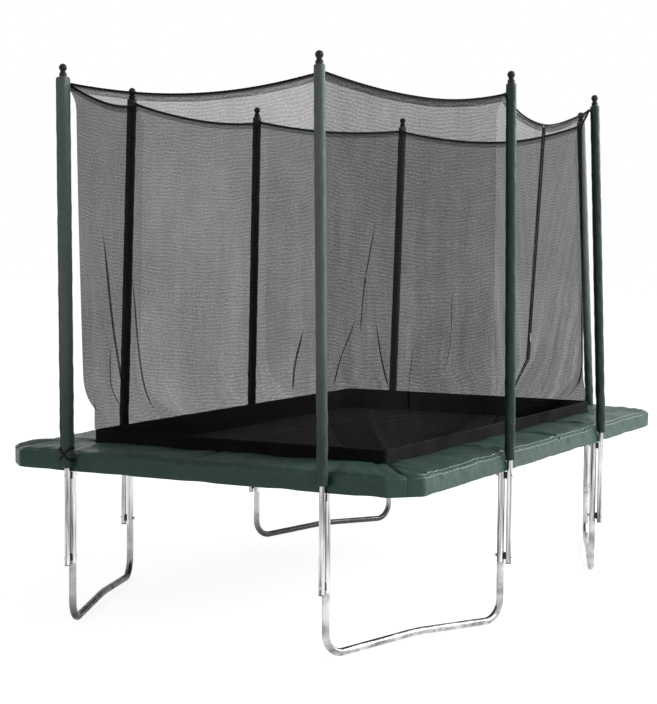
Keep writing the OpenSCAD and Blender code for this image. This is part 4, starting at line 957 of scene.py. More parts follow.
# %% [markdown]
# ## Springs
# The mat hangs in seventy-four steel springs. Each is a close coil with a straight end that
# goes into a hole in the rail and a hook over a V-ring on the mat. A coil is one line round a
# cylinder, so a thin five-sided outline is carried along it; with so many springs each has
# few faces.

# %% Springs
SPRING_PITCH, COIL_R, WIRE_R = 0.125, 0.008, 0.0019

def spring_line(turns=21, steps=8):
    """In the spring's own frame, x from the mat's edge to the rail: hook, coil, straight end."""
    first, last, up = 0.0335, 0.156, 0.0043
    t = np.linspace(0, 1, turns * steps + 1)
    angle = t * turns * 2 * np.pi
    rise = np.clip(np.minimum(t, 1 - t) * turns * 1.5, 0, 1)
    reach = COIL_R * rise
    coil = np.stack([first + (last - first) * t, reach * np.cos(angle), reach * np.sin(angle)], -1)
    hook = np.array([[0.0255, 0, -0.006], [0.0255, 0, 0.0], [0.0258, 0, 0.0038], [0.0285, 0, up + 0.001]])
    end = np.array([[0.165, 0, 0.0], [0.1745, 0, 0.0]])
    return np.concatenate([hook, coil, end])

def spring_patch(places, turn):
    """The same carried outline at every place: turned in plan and moved."""
    line = spring_line()
    axis = line * [1, 0, 0]
    off = line - axis
    up = unit(np.where(np.linalg.norm(off, axis=-1, keepdims=True) > 0.002, off, [0, 1.0, 0.2]))
    rows = carry(line, circle(WIRE_R, 5), up)
    rows = pointed(rows, line)
    c, s = math.cos(turn), math.sin(turn)
    turned = rows @ np.array([[c, s, 0], [-s, c, 0], [0, 0, 1.0]])
    return [patch(turned + p, ring=True, flip=True) for p in places]

side_y = np.concatenate([s * (SPRING_PITCH / 2 + SPRING_PITCH * np.arange(12)) for s in (-1, 1)])
end_x = np.concatenate([[0.0], *[s * SPRING_PITCH * np.arange(1, 7) for s in (-1, 1)]])
spring_sides = {
    "near": ([(x, -MAT_L, RAIL_Z) for x in end_x], -math.pi / 2, (0, -1)),
    "far": ([(x, MAT_L, RAIL_Z) for x in end_x], math.pi / 2, (0, 1)),
    "left": ([(-MAT_W, y, RAIL_Z) for y in side_y], math.pi, (-1, 0)),
    "right": ([(MAT_W, y, RAIL_Z) for y in side_y], 0.0, (1, 0)),
}
for side, (places, turn, way) in spring_sides.items():
    coil = piece("springs_" + side + "_coiled", spring_patch(np.array(places), turn), [spring_wire])
    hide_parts("springs_" + side)
    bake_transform(coil)
    print("springs", side + ":", len(places), "with", faces_of(coil), "faces")

# %% [markdown]
# ## The jumping mat
# A single sheet of tight black weave with webbing sewn round its edge. The mat is a plane grid
# with rounded corners, and the webbing a few rings that shrink towards the middle. Its map
# runs across and along the tape, so its three rows of stitches follow the edge.

# %% Mat and webbing
def rounded_ring(hx, hy, r, per_side=60, per_corner=8):
    """Plan of a rounded rectangle, counter-clockwise, with even points on each side and corner."""
    a = np.linspace(0, np.pi / 2, per_corner, endpoint=False)
    parts = []
    corners = [(hx - r, hy - r), (-hx + r, hy - r), (-hx + r, -hy + r), (hx - r, -hy + r)]
    for turn, (cx, cy) in enumerate(corners):
        b = a + turn * np.pi / 2
        parts.append(np.stack([cx + r * np.cos(b), cy + r * np.sin(b)], -1))
        end = turn * np.pi / 2 + np.pi / 2
        t = np.linspace(0, 1, per_side, endpoint=False)[:, None]
        way = np.array([math.cos(end), math.sin(end)]) * r
        parts.append((np.array([cx, cy]) + way) * (1 - t) + (np.array(corners[(turn + 1) % 4]) + way) * t)
    return np.concatenate(parts)

def mat_patch():
    """Plane grid under the webbing: u and v are the plan in metres; it sinks by a millimetre in
    shallow waves between the springs, which die out towards the middle."""
    x, y = np.linspace(-1, 1, 90), np.linspace(-1, 1, 150)
    gx, gy = np.meshgrid(x * (MAT_W - 0.004), y * (MAT_L - 0.004))
    beyond = [np.maximum(np.abs(g) - size + 0.064, 0) for g, size in ((gx, MAT_W), (gy, MAT_L))]
    corner = np.maximum(np.hypot(*beyond) - 0.056, 0)
    gx, gy = gx - np.sign(gx) * corner * 0.72, gy - np.sign(gy) * corner * 0.72
    edge = np.minimum(MAT_W - np.abs(gx), MAT_L - np.abs(gy))
    pulls = np.cos(2 * np.pi * gy / SPRING_PITCH) + np.cos(2 * np.pi * gx / SPRING_PITCH)
    wave = 0.0006 * np.exp(-edge / 0.10) * pulls
    return patch(np.stack([gx, gy, MAT_TOP - 0.0009 - np.abs(wave)], -1), gx, gy)

mat_cloth = piece("jumping_mat", mat_patch(), [mat_weave])
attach(mat_cloth, "mat")
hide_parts("mat_sheet")

def webbing_patch():
    """Rings from the mat's edge to 40 mm in, on top of the mat, with the edges turned down."""
    insets = np.array([0.0, 0.0, 0.001, 0.013, 0.027, 0.039, 0.040, 0.040])
    heights = np.array([-0.0016, 0.0008, 0.0022, 0.0025, 0.0025, 0.0022, 0.0008, -0.0004]) + MAT_TOP + 0.0003
    plans = [rounded_ring(MAT_W - d, MAT_L - d, 0.060 - d / 2) for d in insets]
    rings = np.stack([np.column_stack([p, np.full(len(p), h)]) for p, h in zip(plans, heights)])
    line = run_length(np.vstack([rings[0], rings[0][:1]]))
    return patch(rings, line[None, :], insets[:, None], ring=True, flip=True)

def swap_map(p):
    """The same patch with across and along changed over, for tapes whose rings run the long way."""
    return {**p, "maps": p["maps"][..., ::-1]}

webbing = piece("mat_edge_webbing", swap_map(webbing_patch()), [webbing_weave])
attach(webbing, "mat")
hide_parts("mat_webbing")
print("mat:", faces_of(mat_cloth), "faces, webbing:", faces_of(webbing))

# %% [markdown]
# ## The band at the foot of the net
# The net ends in a strip of solid cloth, a hand's width high, sewn to the mat all round. It
# stands up because the net pulls on it, and it ripples a little between the places where it
# is sewn, more at its top than at its foot.

# %% Foot band
def foot_ring(count=900, r=0.012):
    """The foot rectangle with tightly rounded corners, evenly spaced by length."""
    ring = rounded_ring(FOOT_W, FOOT_L, r, 120, 6)
    closed = np.vstack([ring, ring[:1]])
    line = run_length(closed)
    at = np.linspace(0, line[-1], count, endpoint=False)
    return np.stack([np.interp(at, line, closed[:, k]) for k in (0, 1)], -1), at, line[-1]

def band_patch():
    """Offset = 3 mm * (two waves of different length) * height share, outward and inward."""
    ring, at, whole = foot_ring()
    outside = unit(np.roll(ring, -1, 0) - np.roll(ring, 1, 0))[:, ::-1] * [1, -1]
    h = np.array([0.0, 0.004, 0.010, 0.03, 0.055, 0.08, 0.10, 0.115, 0.1225])
    k = 2 * np.pi * np.round(whole / 0.19) / whole, 2 * np.pi * np.round(whole / 0.33) / whole
    wave = 0.0016 * np.sin(k[0] * at) + 0.0014 * np.sin(k[1] * at + 1.3)
    hem = np.where((h < 0.009) | (h > 0.114), 0.0006, 0.0)
    push = wave[None, :] * np.clip(h / 0.1, 0, 1)[:, None] ** 1.3 * 0.8 + hem[:, None]
    plan = ring[None] + outside[None] * push[..., None]
    z = np.broadcast_to((MAT_TOP + 0.0006 + h)[:, None], plan.shape[:2])
    points = np.concatenate([plan, z[..., None]], -1)
    return patch(points, h[:, None], np.append(at, whole)[None, :], ring=True)

band = piece("net_foot_cloth", band_patch(), [band_weave])
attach(band, "mat")
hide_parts("net_foot_band")
print("foot band:", faces_of(band), "faces")

# %% [markdown]
# ## The pad
# Four mitred sections of foam in coated cloth cover the springs. Each has a rounded outer
# edge with a skirt, cross seams that pinch the foam, and piping along the outer edge. First
# the sewn outline is worked out: for every station along the section the profile runs round
# the foam and down the skirt, with creases that are sines of the distance. Then Blender's
# cloth solver blows it up between its seams, with the seams, the skirt, the underside and the
# mitred ends pinned, and a few millimetres of that move are kept.

# %% Pad profile
SKIRT, DENT_R, DENT_DEPTH, INFLATE_LIMIT = 0.053, 0.0505, 0.0148, 0.004

def pad_profile():
    """Rows of [share across the width from the outer edge, distance in, height, dent share,
    seam share, freedom]: skirt inside, skirt outside, rim, crown, inner edge, underside."""
    a = np.radians(np.linspace(0, 90, 7))
    rows = [[0, 0.0030, -0.004, 0, 0, 0], [0, 0.0022, -0.028, 0, 0, 0],
            [0, 0.0018, -0.0505, 0, 0, 0], [0, 0.0009, -SKIRT, 0, 0, 0],
            [0, 0.0, -0.0515, 0, 0, 0], [0, 0, -0.040, 0, 0, 0], [0, 0, -0.028, 0, 0, 0],
            [0, 0, -0.016, 0.1, 0, 0], [0, 0, -0.006, 0.5, 0.1, 0],
            [0, 0, 0.004, 1, 0.2, 0.2], [0, 0, 0.012, 1, 0.3, 0.5]]
    rows += [[0, 0.020 - 0.020 * math.cos(t), 0.019 + 0.0195 * math.sin(t), 1,
              0.4 + 0.6 * math.sin(t), 0.7] for t in a]
    x = np.linspace(0, 1, 18)[1:-1]
    crown = [PAD_T - 0.0005 + 0.0120 * math.sin(math.pi * (0.04 + 0.82 * u)) ** 0.7 - 0.0012 for u in x]
    rows += [[u, 0.0, top, max(0, 1 - u / 0.15), 1, 1] for u, top in zip(x, crown)]
    rows += [[1, -0.0125, 0.0425, 0, 1, 0.6], [1, -0.006, 0.0392, 0, 0.7, 0.4],
             [1, -0.002, 0.032, 0, 0.5, 0.3], [1, 0.0, 0.0195, 0, 0.2, 0.2],
             [1, -0.0010, 0.008, 0, 0.1, 0.1], [1, -0.003, 0.0015, 0, 0, 0], [1, -0.012, 0.0, 0, 0, 0]]
    rows += [[u, 0, 0, 0, 0, 0] for u in (0.7, 0.4, 0.14, 0.05)]
    return np.array(rows, float)

def pole_dent(d):
    """The padded pole presses the rim in: a rounded bay 14.8 mm deep and 101 mm wide."""
    bay = np.sqrt(0.5 + 0.5 * np.cos(np.pi * np.clip(d / DENT_R, -1, 1)))
    return np.where(np.abs(d) < DENT_R, DENT_DEPTH * bay, 0)

profile = pad_profile()
print("pad profile:", len(profile), "points")

# %% Pad stations
MITRE_GAP, FAN = 0.0003, 0.06

def plan_line(x, y):
    """Plan points from their two coordinates; x may be one number for all."""
    return np.stack([np.broadcast_to(x, np.shape(y)), y], -1)

def stations(hx, hy, w, w2, step=0.012):
    """Inner and outer plan points along the section, in its own frame: square to the edge on
    the open stretch, then fanning to the mitre over the last stretch, the corner cut off."""
    inner = hy - w2 - MITRE_GAP
    slope = w2 / w
    tip = hy - CORNER_CUT * slope / (1 + slope) - MITRE_GAP
    open_end = inner - FAN
    straight = np.linspace(-open_end, open_end, int(2 * open_end / step) | 1)
    t = np.concatenate([np.linspace(0, 0.94, 24)[1:], [0.965, 0.985, 1.0]])
    y_in, y_out = inner * t + open_end * (1 - t), tip * t + open_end * (1 - t)
    x_out = hx - np.maximum(0, y_out - (hy - CORNER_CUT))
    inside = hx - w
    a = np.concatenate([plan_line(inside, -y_in)[::-1], plan_line(inside, straight), plan_line(inside, y_in)])
    b = np.concatenate([plan_line(x_out, -y_out)[::-1], plan_line(hx, straight), plan_line(x_out, y_out)])
    nearness = np.concatenate([t[::-1], np.zeros(len(straight)), t])
    return a, b, nearness

def pad_points(hx, hy, w, w2, poles, seams, phase):
    """Every station's profile. The seams pinch the top in narrow valleys, the mitred ends sink,
    and creases run out from seams and poles: sines of the distance, fading within 150 mm."""
    a, b, near = stations(hx, hy, w, w2)
    along = b[:, 1]
    length = np.linalg.norm(a - b, axis=-1)
    way = (a - b) / length[:, None]
    dent = np.max([pole_dent(along - p) for p in poles], 0)
    to_seam = np.min([np.abs(along - s) for s in seams], 0)
    to_pole = np.min([np.abs(along - p) for p in poles], 0)
    pinch = 0.0125 * bump(to_seam, 0.0080) + 0.0034 * bump(to_seam, 0.034)
    end_dip = 0.0080 * ramp(near - 0.86, 0.14) ** 2
    u, d, h, dented, sunk, free = profile.T[:, None]
    y, from_seam, from_pole, at_end = (x[:, None] for x in (along, to_seam, to_pole, near))
    crease = 2.3 * (
        0.0022 * np.sin(y / 0.0135 + 2.2 * np.sin(7 * u + phase) + phase) * np.exp(-from_seam / 0.07)
        + 0.0026 * np.sin(y / 0.019 + 5 * u + phase) * np.exp(-from_pole / 0.09)
        * np.clip(1.3 - 1.5 * u, 0, 1)
        + 0.0020 * np.sin(y / 0.016 + 9 * u + phase) * (at_end ** 1.5) * np.clip(1.2 - 1.2 * u, 0, 1)
        + 0.0013 * np.sin(y * 11 + 3.1 * u + phase) + 0.0009 * np.sin(y * 23 - 6 * u + 2 * phase))
    height = h - sunk * (pinch + end_dip)[:, None] + crease * (sunk * free)
    reach = np.maximum(u * length[:, None] + d + dented * dent[:, None], 0)
    scallop = 0.004 * bump(to_seam, 0.05)[:, None] * ramp(u - 0.9, 0.1) * (h > 0.002)
    bulge = -0.0036 * np.sin(y * 26 + phase) * bump(h - 0.010, 0.02) * (u == 0) * (h > -0.02)
    skirt = (u == 0) & (h < -0.003)
    swing = ramp(-h - 0.005, 0.045) * skirt
    flutter = 0.0013 + 0.0012 * np.sin(along * 17 + phase) * np.sin(along * 6.1 + 2 * phase)
    wave = swing * flutter[:, None] * ramp(from_pole, 0.07)
    drop = -0.0022 * np.sin(along * 13.7 + phase)[:, None] * swing
    drop = drop - 0.0014 * np.sin(along * 29 + 2 * phase)[:, None] * swing
    plan = b[:, None] + way[:, None] * np.clip(reach - scallop + bulge + wave, 0, None)[..., None]
    z = PAD_UNDER + np.maximum(height, -SKIRT) + np.maximum(drop, 0)
    return np.concatenate([plan, z[..., None]], -1), along, to_seam, near

print("pad stations ready")

# %% [markdown]
# The solver needs three things: a closed shell, a group of pinned points and a pressure. The
# result is read back point by point. Where the solver moves a point further than the limit,
# only the limit is kept, and the printed share tells how many points that cuts. The cloth
# modifier is taken off again, so that what is kept is a plain mesh.

# %% Blow up between the seams
def inflate(thing, pinned, limit, pressure=4.0, frames=20):
    """Cloth with pressure, gravity off: point = start + move * (1 - pinned), the move's length
    cut to limit. Gives the solver's longest move and the share of free points that were cut."""
    group = thing.vertex_groups.new(name="pinned")
    for level in (1.0, 0.6, 0.3):
        chosen = np.flatnonzero(np.abs(pinned - level) < 0.16)
        group.add(chosen.tolist(), float(level), "REPLACE")
    cloth = thing.modifiers.new("cloth", "CLOTH")
    cloth.settings.vertex_group_mass = "pinned"
    cloth.settings.quality = 4
    cloth.settings.mass = 0.25
    cloth.settings.tension_stiffness = cloth.settings.compression_stiffness = 25
    cloth.settings.shear_stiffness = 12
    cloth.settings.bending_stiffness = 0.6
    cloth.settings.shrink_min = -0.012
    cloth.settings.use_pressure = True
    cloth.settings.uniform_pressure_force = pressure
    cloth.settings.effector_weights.gravity = 0
    cloth.collision_settings.use_collision = False
    scene = bpy.context.scene
    for number in range(1, frames + 1):
        scene.frame_set(number)
    count = len(thing.data.vertices)
    before, after = np.zeros(count * 3), np.zeros(count * 3)
    thing.data.vertices.foreach_get("co", before)
    result = thing.evaluated_get(bpy.context.evaluated_depsgraph_get())
    result.data.vertices.foreach_get("co", after)
    move = (after - before).reshape(-1, 3)
    size = np.linalg.norm(move, axis=-1)
    move *= (np.minimum(size, limit) / np.maximum(size, 1e-9))[:, None]
    move *= (1 - pinned)[:, None]
    thing.modifiers.remove(cloth)
    thing.vertex_groups.remove(group)
    thing.data.vertices.foreach_set("co", before + move.ravel())
    thing.data.update()
    scene.frame_set(1)
    return float(size.max()), float((size[pinned < 1] > limit).mean())

def sharpen_ends(thing, cols, rows):
    """Full creases on the edges of the two end rings, so that smoothing keeps the mitre closed."""
    pairs = np.zeros(len(thing.data.edges) * 2, np.int32)
    thing.data.edges.foreach_get("vertices", pairs)
    pairs = pairs.reshape(-1, 2)
    at_end = (pairs < cols).all(1) | (pairs >= (rows - 1) * cols).all(1)
    mark = thing.data.attributes.new("crease_edge", "FLOAT", "EDGE")
    mark.data.foreach_set("value", at_end.astype(np.float32))

def make_pad(name, turn, hx, hy, w, w2, poles, seams, phase):
    """One section: sewn shell, capped ends, blown up, one subdivision. Its map is in metres."""
    points, along, to_seam, near = pad_points(hx, hy, w, w2, poles, seams, phase)
    c, s = math.cos(turn), math.sin(turn)
    plan = points[..., :2] @ np.array([[c, s], [-s, c]])
    points = np.concatenate([plan, points[..., 2:]], -1)
    middle = points[len(points) // 2]
    across = run_length(np.vstack([middle, middle[:1]]))
    shell = patch(points, across[None, :], along[:, None], ring=True, flip=True)
    thing = piece(name, shell, [pad_cloth], merge=0)
    close_holes(thing)
    off_seams, off_ends = ramp(to_seam - 0.006, 0.02), ramp(0.97 - near, 0.15)
    free = profile[:, 5][None] * off_seams[:, None] * off_ends[:, None]
    moved, cut = inflate(thing, 1 - free.ravel(), INFLATE_LIMIT)
    sharpen_ends(thing, points.shape[1], len(points))
    smooth = thing.modifiers.new("smooth", "SUBSURF")
    smooth.levels = smooth.render_levels = 1
    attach(thing, "frame")
    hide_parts(name.replace("_section", ""))
    print(name + ":", faces_of(thing), "faces; the solver's longest move", round(moved * 1000, 1),
          "mm, cut to", INFLATE_LIMIT * 1000, "mm at", round(100 * cut, 1), "% of the free points")
    return thing, points

side_args = (PAD_W, PAD_L, SIDE_PAD, END_PAD, (-0.70, 0.70), (-0.65, 0.06, 0.65))
end_args = (PAD_L, PAD_W, END_PAD, SIDE_PAD, (-0.695, 0.695), (-0.06,))
pads = {
    "right": make_pad("pad_right_section", 0.0, *side_args, 0.4),
    "left": make_pad("pad_left_section", math.pi, *side_args, 1.9),
    "far": make_pad("pad_far_section", math.pi / 2, *end_args, 3.1),
    "near": make_pad("pad_near_section", -math.pi / 2, *end_args, 4.6),
}

# %% [markdown]
# ## Piping and ties of the pad
# Two cords of piping run along each section's outer edge, one above the rim and one where the
# rim turns down. They follow the pad's own surface, so they are carried along lines read from
# its finished points, half sunk into the cloth.

# %% Piping
def surface_line(points, share, lift):
    """The line at a fractional place round the profile: points between two columns, pushed out
    by lift along the surface normal."""
    k = int(share)
    f = share - k
    line = points[:, k] * (1 - f) + points[:, k + 1] * f
    across = points[:, k + 1] - points[:, k]
    ahead = np.gradient(line, axis=0)
    normal = unit(np.cross(across, ahead))
    return line + normal * lift, normal

def pad_trim(side):
    """Piping along both edges of the rim."""
    thing, sewn = pads[side]
    count = len(sewn) * sewn.shape[1]
    co = np.zeros(len(thing.data.vertices) * 3)
    thing.data.vertices.foreach_get("co", co)
    points = co.reshape(-1, 3)[:count].reshape(sewn.shape)
    made = []
    rim = int(np.flatnonzero(profile[:, 2] > 0.0375)[0])
    for share, radius in ((rim + 1.2, 0.0030), (rim - 3.2, 0.0024)):
        line, up = surface_line(points, share, 0.0006)
        keep = slice(3, -3)
        made.append(cord_patch(line[keep], circle(radius, 8), up[keep]))
    # Only the section on the lit side gets the paler piping, a painted highlight; the others use the pad
    # cloth.
    trim = piece("pad_" + side + "_piping", made, [piping_cloth_painted_highlight if side == "right" else pad_cloth])
    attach(trim, "frame")
    return trim

trims = [pad_trim(side) for side in pads]
print("piping:", sum(faces_of(t) for t in trims), "faces")

# %% Elastic loops under the pad
def loop_patches():
    """Arcs of flat elastic round the rail, open at the top where they are sewn to the pad."""
    opening = math.radians(90) - math.asin((PAD_UNDER - RAIL_Z - 0.0003) / (RAIL_R + 0.0011))
    turn = np.linspace(math.pi / 2 + opening, 2.5 * math.pi - opening, 24)
    ring = np.stack([np.cos(turn), np.sin(turn)], -1) * (RAIL_R + 0.0008)
    made = []
    for s in (-1, 1):
        for y in (-1.125, -0.375, 0.375, 1.125):
            path = np.stack([s * HALF_W + ring[:, 0], np.full(24, y), RAIL_Z + ring[:, 1]], -1)
            made.append(cord_patch(path, band_outline(0.020, 0.001), path - [s * HALF_W, y, RAIL_Z]))
        for x in (-0.4375, 0.0625, 0.4375):
            path = np.stack([np.full(24, x), s * HALF_L + ring[:, 0], RAIL_Z + ring[:, 1]], -1)
            made.append(cord_patch(path, band_outline(0.020, 0.001), path - [x, s * HALF_L, RAIL_Z]))
    return made

elastic = piece("pad_elastic_loops", loop_patches(), [strap_weave])
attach(elastic, "frame")
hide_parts("pad_ties")
print("elastic loops:", faces_of(elastic), "faces")

# %% [markdown]
# ## The net walls
# Each wall hangs from the rope between two poles, falls nearly straight to the waist and then
# slopes in to the top of the foot band. Slack cloth under tension makes long folds that lie
# over themselves, which show as dark stripes because the light has to pass three layers. Such
# a fold is a shift within the sheet, sliding cloth towards the fold line from both sides, so
# the sheet doubles back on itself, and a small step out of the sheet keeps the layers apart.

# %% Net surface
def foot_path(i, t):
    """Foot of the net at share t between poles i and i + 1, round the corner if there is one."""
    a, b = foot_at(i), foot_at((i + 1) % 8)
    t = np.asarray(t, float)[..., None]
    if abs(a[0] - b[0]) < 1e-3 or abs(a[1] - b[1]) < 1e-3:
        return a + (b - a) * t
    c = np.array([b[0], a[1]]) if abs(outward[i][1]) > 0.5 else np.array([a[0], b[1]])
    turn = np.linalg.norm(c - a) / (np.linalg.norm(c - a) + np.linalg.norm(b - c))
    return np.where(t < turn, a + (c - a) * t / turn, c + (b - c) * (t - turn) / (1 - turn))

def draw_in(z):
    """How far in towards the foot: a tenth from near the rope down, the rest below the waist."""
    return 0.1 * ramp(2.5 - z, 2.5 - NET_FOOT) ** 1.5 + 0.9 * ramp(WAIST - z, WAIST - NET_FOOT) ** 3

def wall_plan(i, t, z):
    """Plan of the smooth wall at share t of span i and height z."""
    a, b = net_at(i, z), net_at((i + 1) % 8, z)
    straight = a + (b - a) * t[..., None]
    return straight + (foot_path(i, t) - straight) * draw_in(z)[..., None]

def chord(i, z):
    """Direction along span i and the outward normal of the wall, at each height."""
    d = unit(net_at((i + 1) % 8, z) - net_at(i, z))
    return d, np.stack([d[..., 1], -d[..., 0]], -1)

def fold(s, z, line):
    """One long fold. Its line runs from (s0, z0) down to (s1, z1); T is the distance from it in
    widths. Shift = -k * width * T * exp(-T^2), step = depth * tanh(1.5 T) * exp(-T^2 / 4)."""
    s0, z0, s1, z1, width, depth, k = line
    h = (z0 - z) / (z0 - z1)
    strength = np.clip(h / 0.45, 0, 1) * ramp(1.10 - h, 0.16) * (h > 0)
    strength = strength * strength * (3 - 2 * strength) * ramp(z - NET_FOOT, 0.05)
    bend = 0.007 * np.sin(2.2 * np.pi * np.clip(h, 0, 1))
    t = (s - s0 - (s1 - s0) * h - bend) / width
    shift = -k * width * t * np.exp(-t * t) * strength
    return shift, depth * np.tanh(1.5 * t) * np.exp(-t * t / 4) * strength

print("net surface ready")

# %% Folds of each wall
# Each fold: share and height where it starts, share and height where it ends, width, depth, slide.
folds = {
    0: [(.078, 2.12, .174, 1.13, .011, .006, 2.2), (.205, 1.87, .275, 1.08, .010, .005, 1.9),
        (.922, 1.55, .868, 1.20, .012, .006, 2.0), (.110, 1.46, .128, 1.05, .010, .004, 1.7)],
    1: [(.306, 2.14, .187, 1.47, .014, .006, 2.5), (.197, 1.60, .045, 1.24, .013, .006, 2.7),
        (.245, 1.60, .345, 1.20, .014, .006, 2.7), (.126, 2.16, .212, 1.70, .012, .004, 1.7),
        (.500, 1.50, .470, 1.08, .012, .004, 2.2)],
    2: [(.877, 2.17, .481, 1.52, .016, .006, 3.0), (.720, 1.80, .520, 1.26, .014, .006, 3.0),
        (.650, 1.58, .534, 1.18, .012, .005, 2.8), (.830, 1.52, .727, 1.10, .013, .006, 3.0),
        (.955, 1.45, .929, 1.06, .012, .005, 2.8), (.900, 1.34, .850, 1.02, .011, .004, 2.6),
        (.500, 1.34, .429, 1.08, .012, .005, 2.6)],
    3: [(.40, 1.70, .36, 1.02, .013, .005, 1.6)],
    4: [(.66, 1.75, .69, 1.02, .013, .005, 1.6)],
    5: [(.42, 1.65, .46, 1.02, .013, .005, 1.6)],
    6: [(.30, 1.60, .27, 1.00, .013, .005, 1.6)],
    7: [(.80, 1.60, .84, 1.00, .012, .005, 1.6), (.45, 1.70, .40, 1.10, .011, .004, 1.6)],
}
ripple = ((0.002, 9), (0.003, 10), (0.004, 12), (0.003, 9), (0.002, 8), (0.003, 8), (0.002, 9), (0.003, 9))

def drape(i, s, z, plan, width):
    """Adds folds and ripples to a wall. Ripples are upright waves that grow below 1.5 m and
    calm down at the foot; broad, shallow billows cover the rest."""
    way, normal = chord(i, z)
    ends = np.clip(np.minimum(s, width - s) / 0.05, 0, 1)
    shift, step = np.zeros_like(s), np.zeros_like(s)
    for a, z0, b, z1, wide, depth, k in folds[i]:
        move, out = fold(s, z, (a * width, z0, b * width, z1, wide, depth, k))
        shift, step = shift + move * ends, step + out * ends
    high, count = ripple[i]
    low = ramp(1.65 - z, 0.60) * ramp(z - NET_FOOT, 0.06)
    phase = 2 * np.pi * count * s / width + 0.9 * np.sin(7 * s + 3 * z + i) + 0.5 * np.sin(5 * z + 2 * i)
    step = step + high * low * (0.6 + 0.4 * np.sin(3.7 * s + i)) * np.sin(phase) * ends
    billow = 0.005 * (0.5 - 0.5 * np.cos(2 * np.pi * 3 * s / width))
    step = step - billow * ramp(2.15 - z, 0.9) * ends * ramp(z - NET_FOOT, 0.1)
    shift = shift + 0.0022 * low * np.cos(phase) * ends
    return plan + way * shift[..., None] + normal * step[..., None]

def wall_patch(i, share_from, share_to, cols, rows, side=None):
    """The wall's grid from under the rope to the foot. For a door half, side gives its zip edge."""
    w = np.linspace(0, 1, cols)[None, :]
    t = share_from + (share_to - share_from) * w
    top = rope_height(i, t) - 0.0040
    v = np.concatenate([[0.0], np.linspace(0.004, 0.04, 4), np.linspace(0.04, 1, rows)[1:]])[:, None]
    z = top + (NET_FOOT - top) * v
    t = np.broadcast_to(t, z.shape)
    if side is None:
        plan = wall_plan(i, t, z)
    else:
        plan, t = door_plan(side, w + 0 * z, z)
    width = float(np.linalg.norm(post[(i + 1) % 8] - post[i]))
    plan = drape(i, t * width, z, plan, width)
    points = np.concatenate([plan, z[..., None]], -1)
    down = np.broadcast_to((top - z), z.shape)
    steps = np.linalg.norm(np.diff(points, axis=1), axis=-1)
    run = np.concatenate([np.zeros((len(z), 1)), np.cumsum(steps, 1)], 1)
    if side == "front":
        run = run[:, -1:] - run
    return points, run, down

def hang_net(name, kind, points, run, down):
    """The wall as a sheet of cloth, cut to its own length along the rope and down the wall."""
    net = piece(name + "_mesh", patch(points, run, down), [kind], merge=0)
    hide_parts(name)
    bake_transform(net)
    return net

WALL_GAP = 0.0002
walls = (
    (0, "net_near", netting, 330, 130),
    (1, "net_near_right", netting_slack, 300, 130),
    (3, "net_far_right", netting, 160, 80),
    (4, "net_far", netting_taut, 180, 80),
    (5, "net_far_left", netting_far, 160, 80),
    (6, "net_left", netting_taut, 180, 80),
    (7, "net_near_left", netting, 300, 120),
)
for i, name, kind, cols, rows in walls:
    hang_net(name, kind, *wall_patch(i, WALL_GAP, 1 - WALL_GAP, cols, rows))

# %% [markdown]
# ## The zip door
# The wall at +X is in two halves with a zip between them that leans towards the near end. The
# tapes are flat woven strips; the teeth are small moulded blocks, set by turns on the two
# tapes, and there are hundreds, so each is a plain block of six faces. Below the zip the
# tapes run on down to the foot with the net.

# %% Zip line and door halves
TOP_SHARE, LOW_SHARE, FOOT_SHARE = 0.52, 0.35, 0.42
TOP_HEIGHT, LOW_HEIGHT = float(rope_height(2, TOP_SHARE)) - 0.0073, WAIST + 0.020

def between(z, share):
    """Plan of the door wall's undrawn line at height z, at a share from pole 2 to pole 3."""
    return net_at(2, z) * (1 - share) + net_at(3, z) * share

ZIP_TOP = np.array([*between(TOP_HEIGHT, TOP_SHARE), TOP_HEIGHT])
ZIP_FOOT = np.array([*foot_path(2, FOOT_SHARE), NET_FOOT])
low_plan = between(LOW_HEIGHT, LOW_SHARE)
ZIP_LOW = np.array([*(low_plan + (ZIP_FOOT[:2] - low_plan) * draw_in(LOW_HEIGHT)), LOW_HEIGHT])
ZIP_LEN = float(np.linalg.norm(ZIP_TOP - ZIP_LOW))
ZIP_SLANT = ZIP_LEN / (ZIP_TOP[2] - ZIP_LOW[2])
TAPE_IN, TAPE_OUT = 0.0033 * ZIP_SLANT, 0.0163 * ZIP_SLANT

def zip_plan(z):
    """Plan of the zip's centre line at height z: one straight line above its low end, one below."""
    z = np.asarray(z, float)[..., None]
    upper = ZIP_LOW[:2] + (ZIP_TOP - ZIP_LOW)[:2] * (z - ZIP_LOW[2]) / (ZIP_TOP[2] - ZIP_LOW[2])
    lower = ZIP_FOOT[:2] + (ZIP_LOW - ZIP_FOOT)[:2] * (z - NET_FOOT) / (ZIP_LOW[2] - NET_FOOT)
    return np.where(z >= ZIP_LOW[2], upper, lower)

def door_pole(front, z):
    """Plan of the door's outer edge beside the pole in front (2) or behind (3)."""
    k = 2 if front else 3
    a = net_at(k, z)
    return a + (foot_at(k) - a) * draw_in(z)[..., None]

def door_plan(side, w, z):
    """A door half: straight across from its pole to 0.3 mm beside its tape. Also gives the
    share of the whole span at each point, which the folds use."""
    front = side == "front"
    centre, pole = zip_plan(z), door_pole(front, z)
    d = unit(pole - centre)
    start, end = centre + d * (TAPE_OUT + 0.0002), pole - d * 0.0003
    w = w[..., None]
    plan = end + (start - end) * w if front else start + (end - start) * w
    whole = door_pole(False, z) - door_pole(True, z)
    share = ((plan - door_pole(True, z)) * whole).sum(-1) / (whole ** 2).sum(-1)
    return plan, share

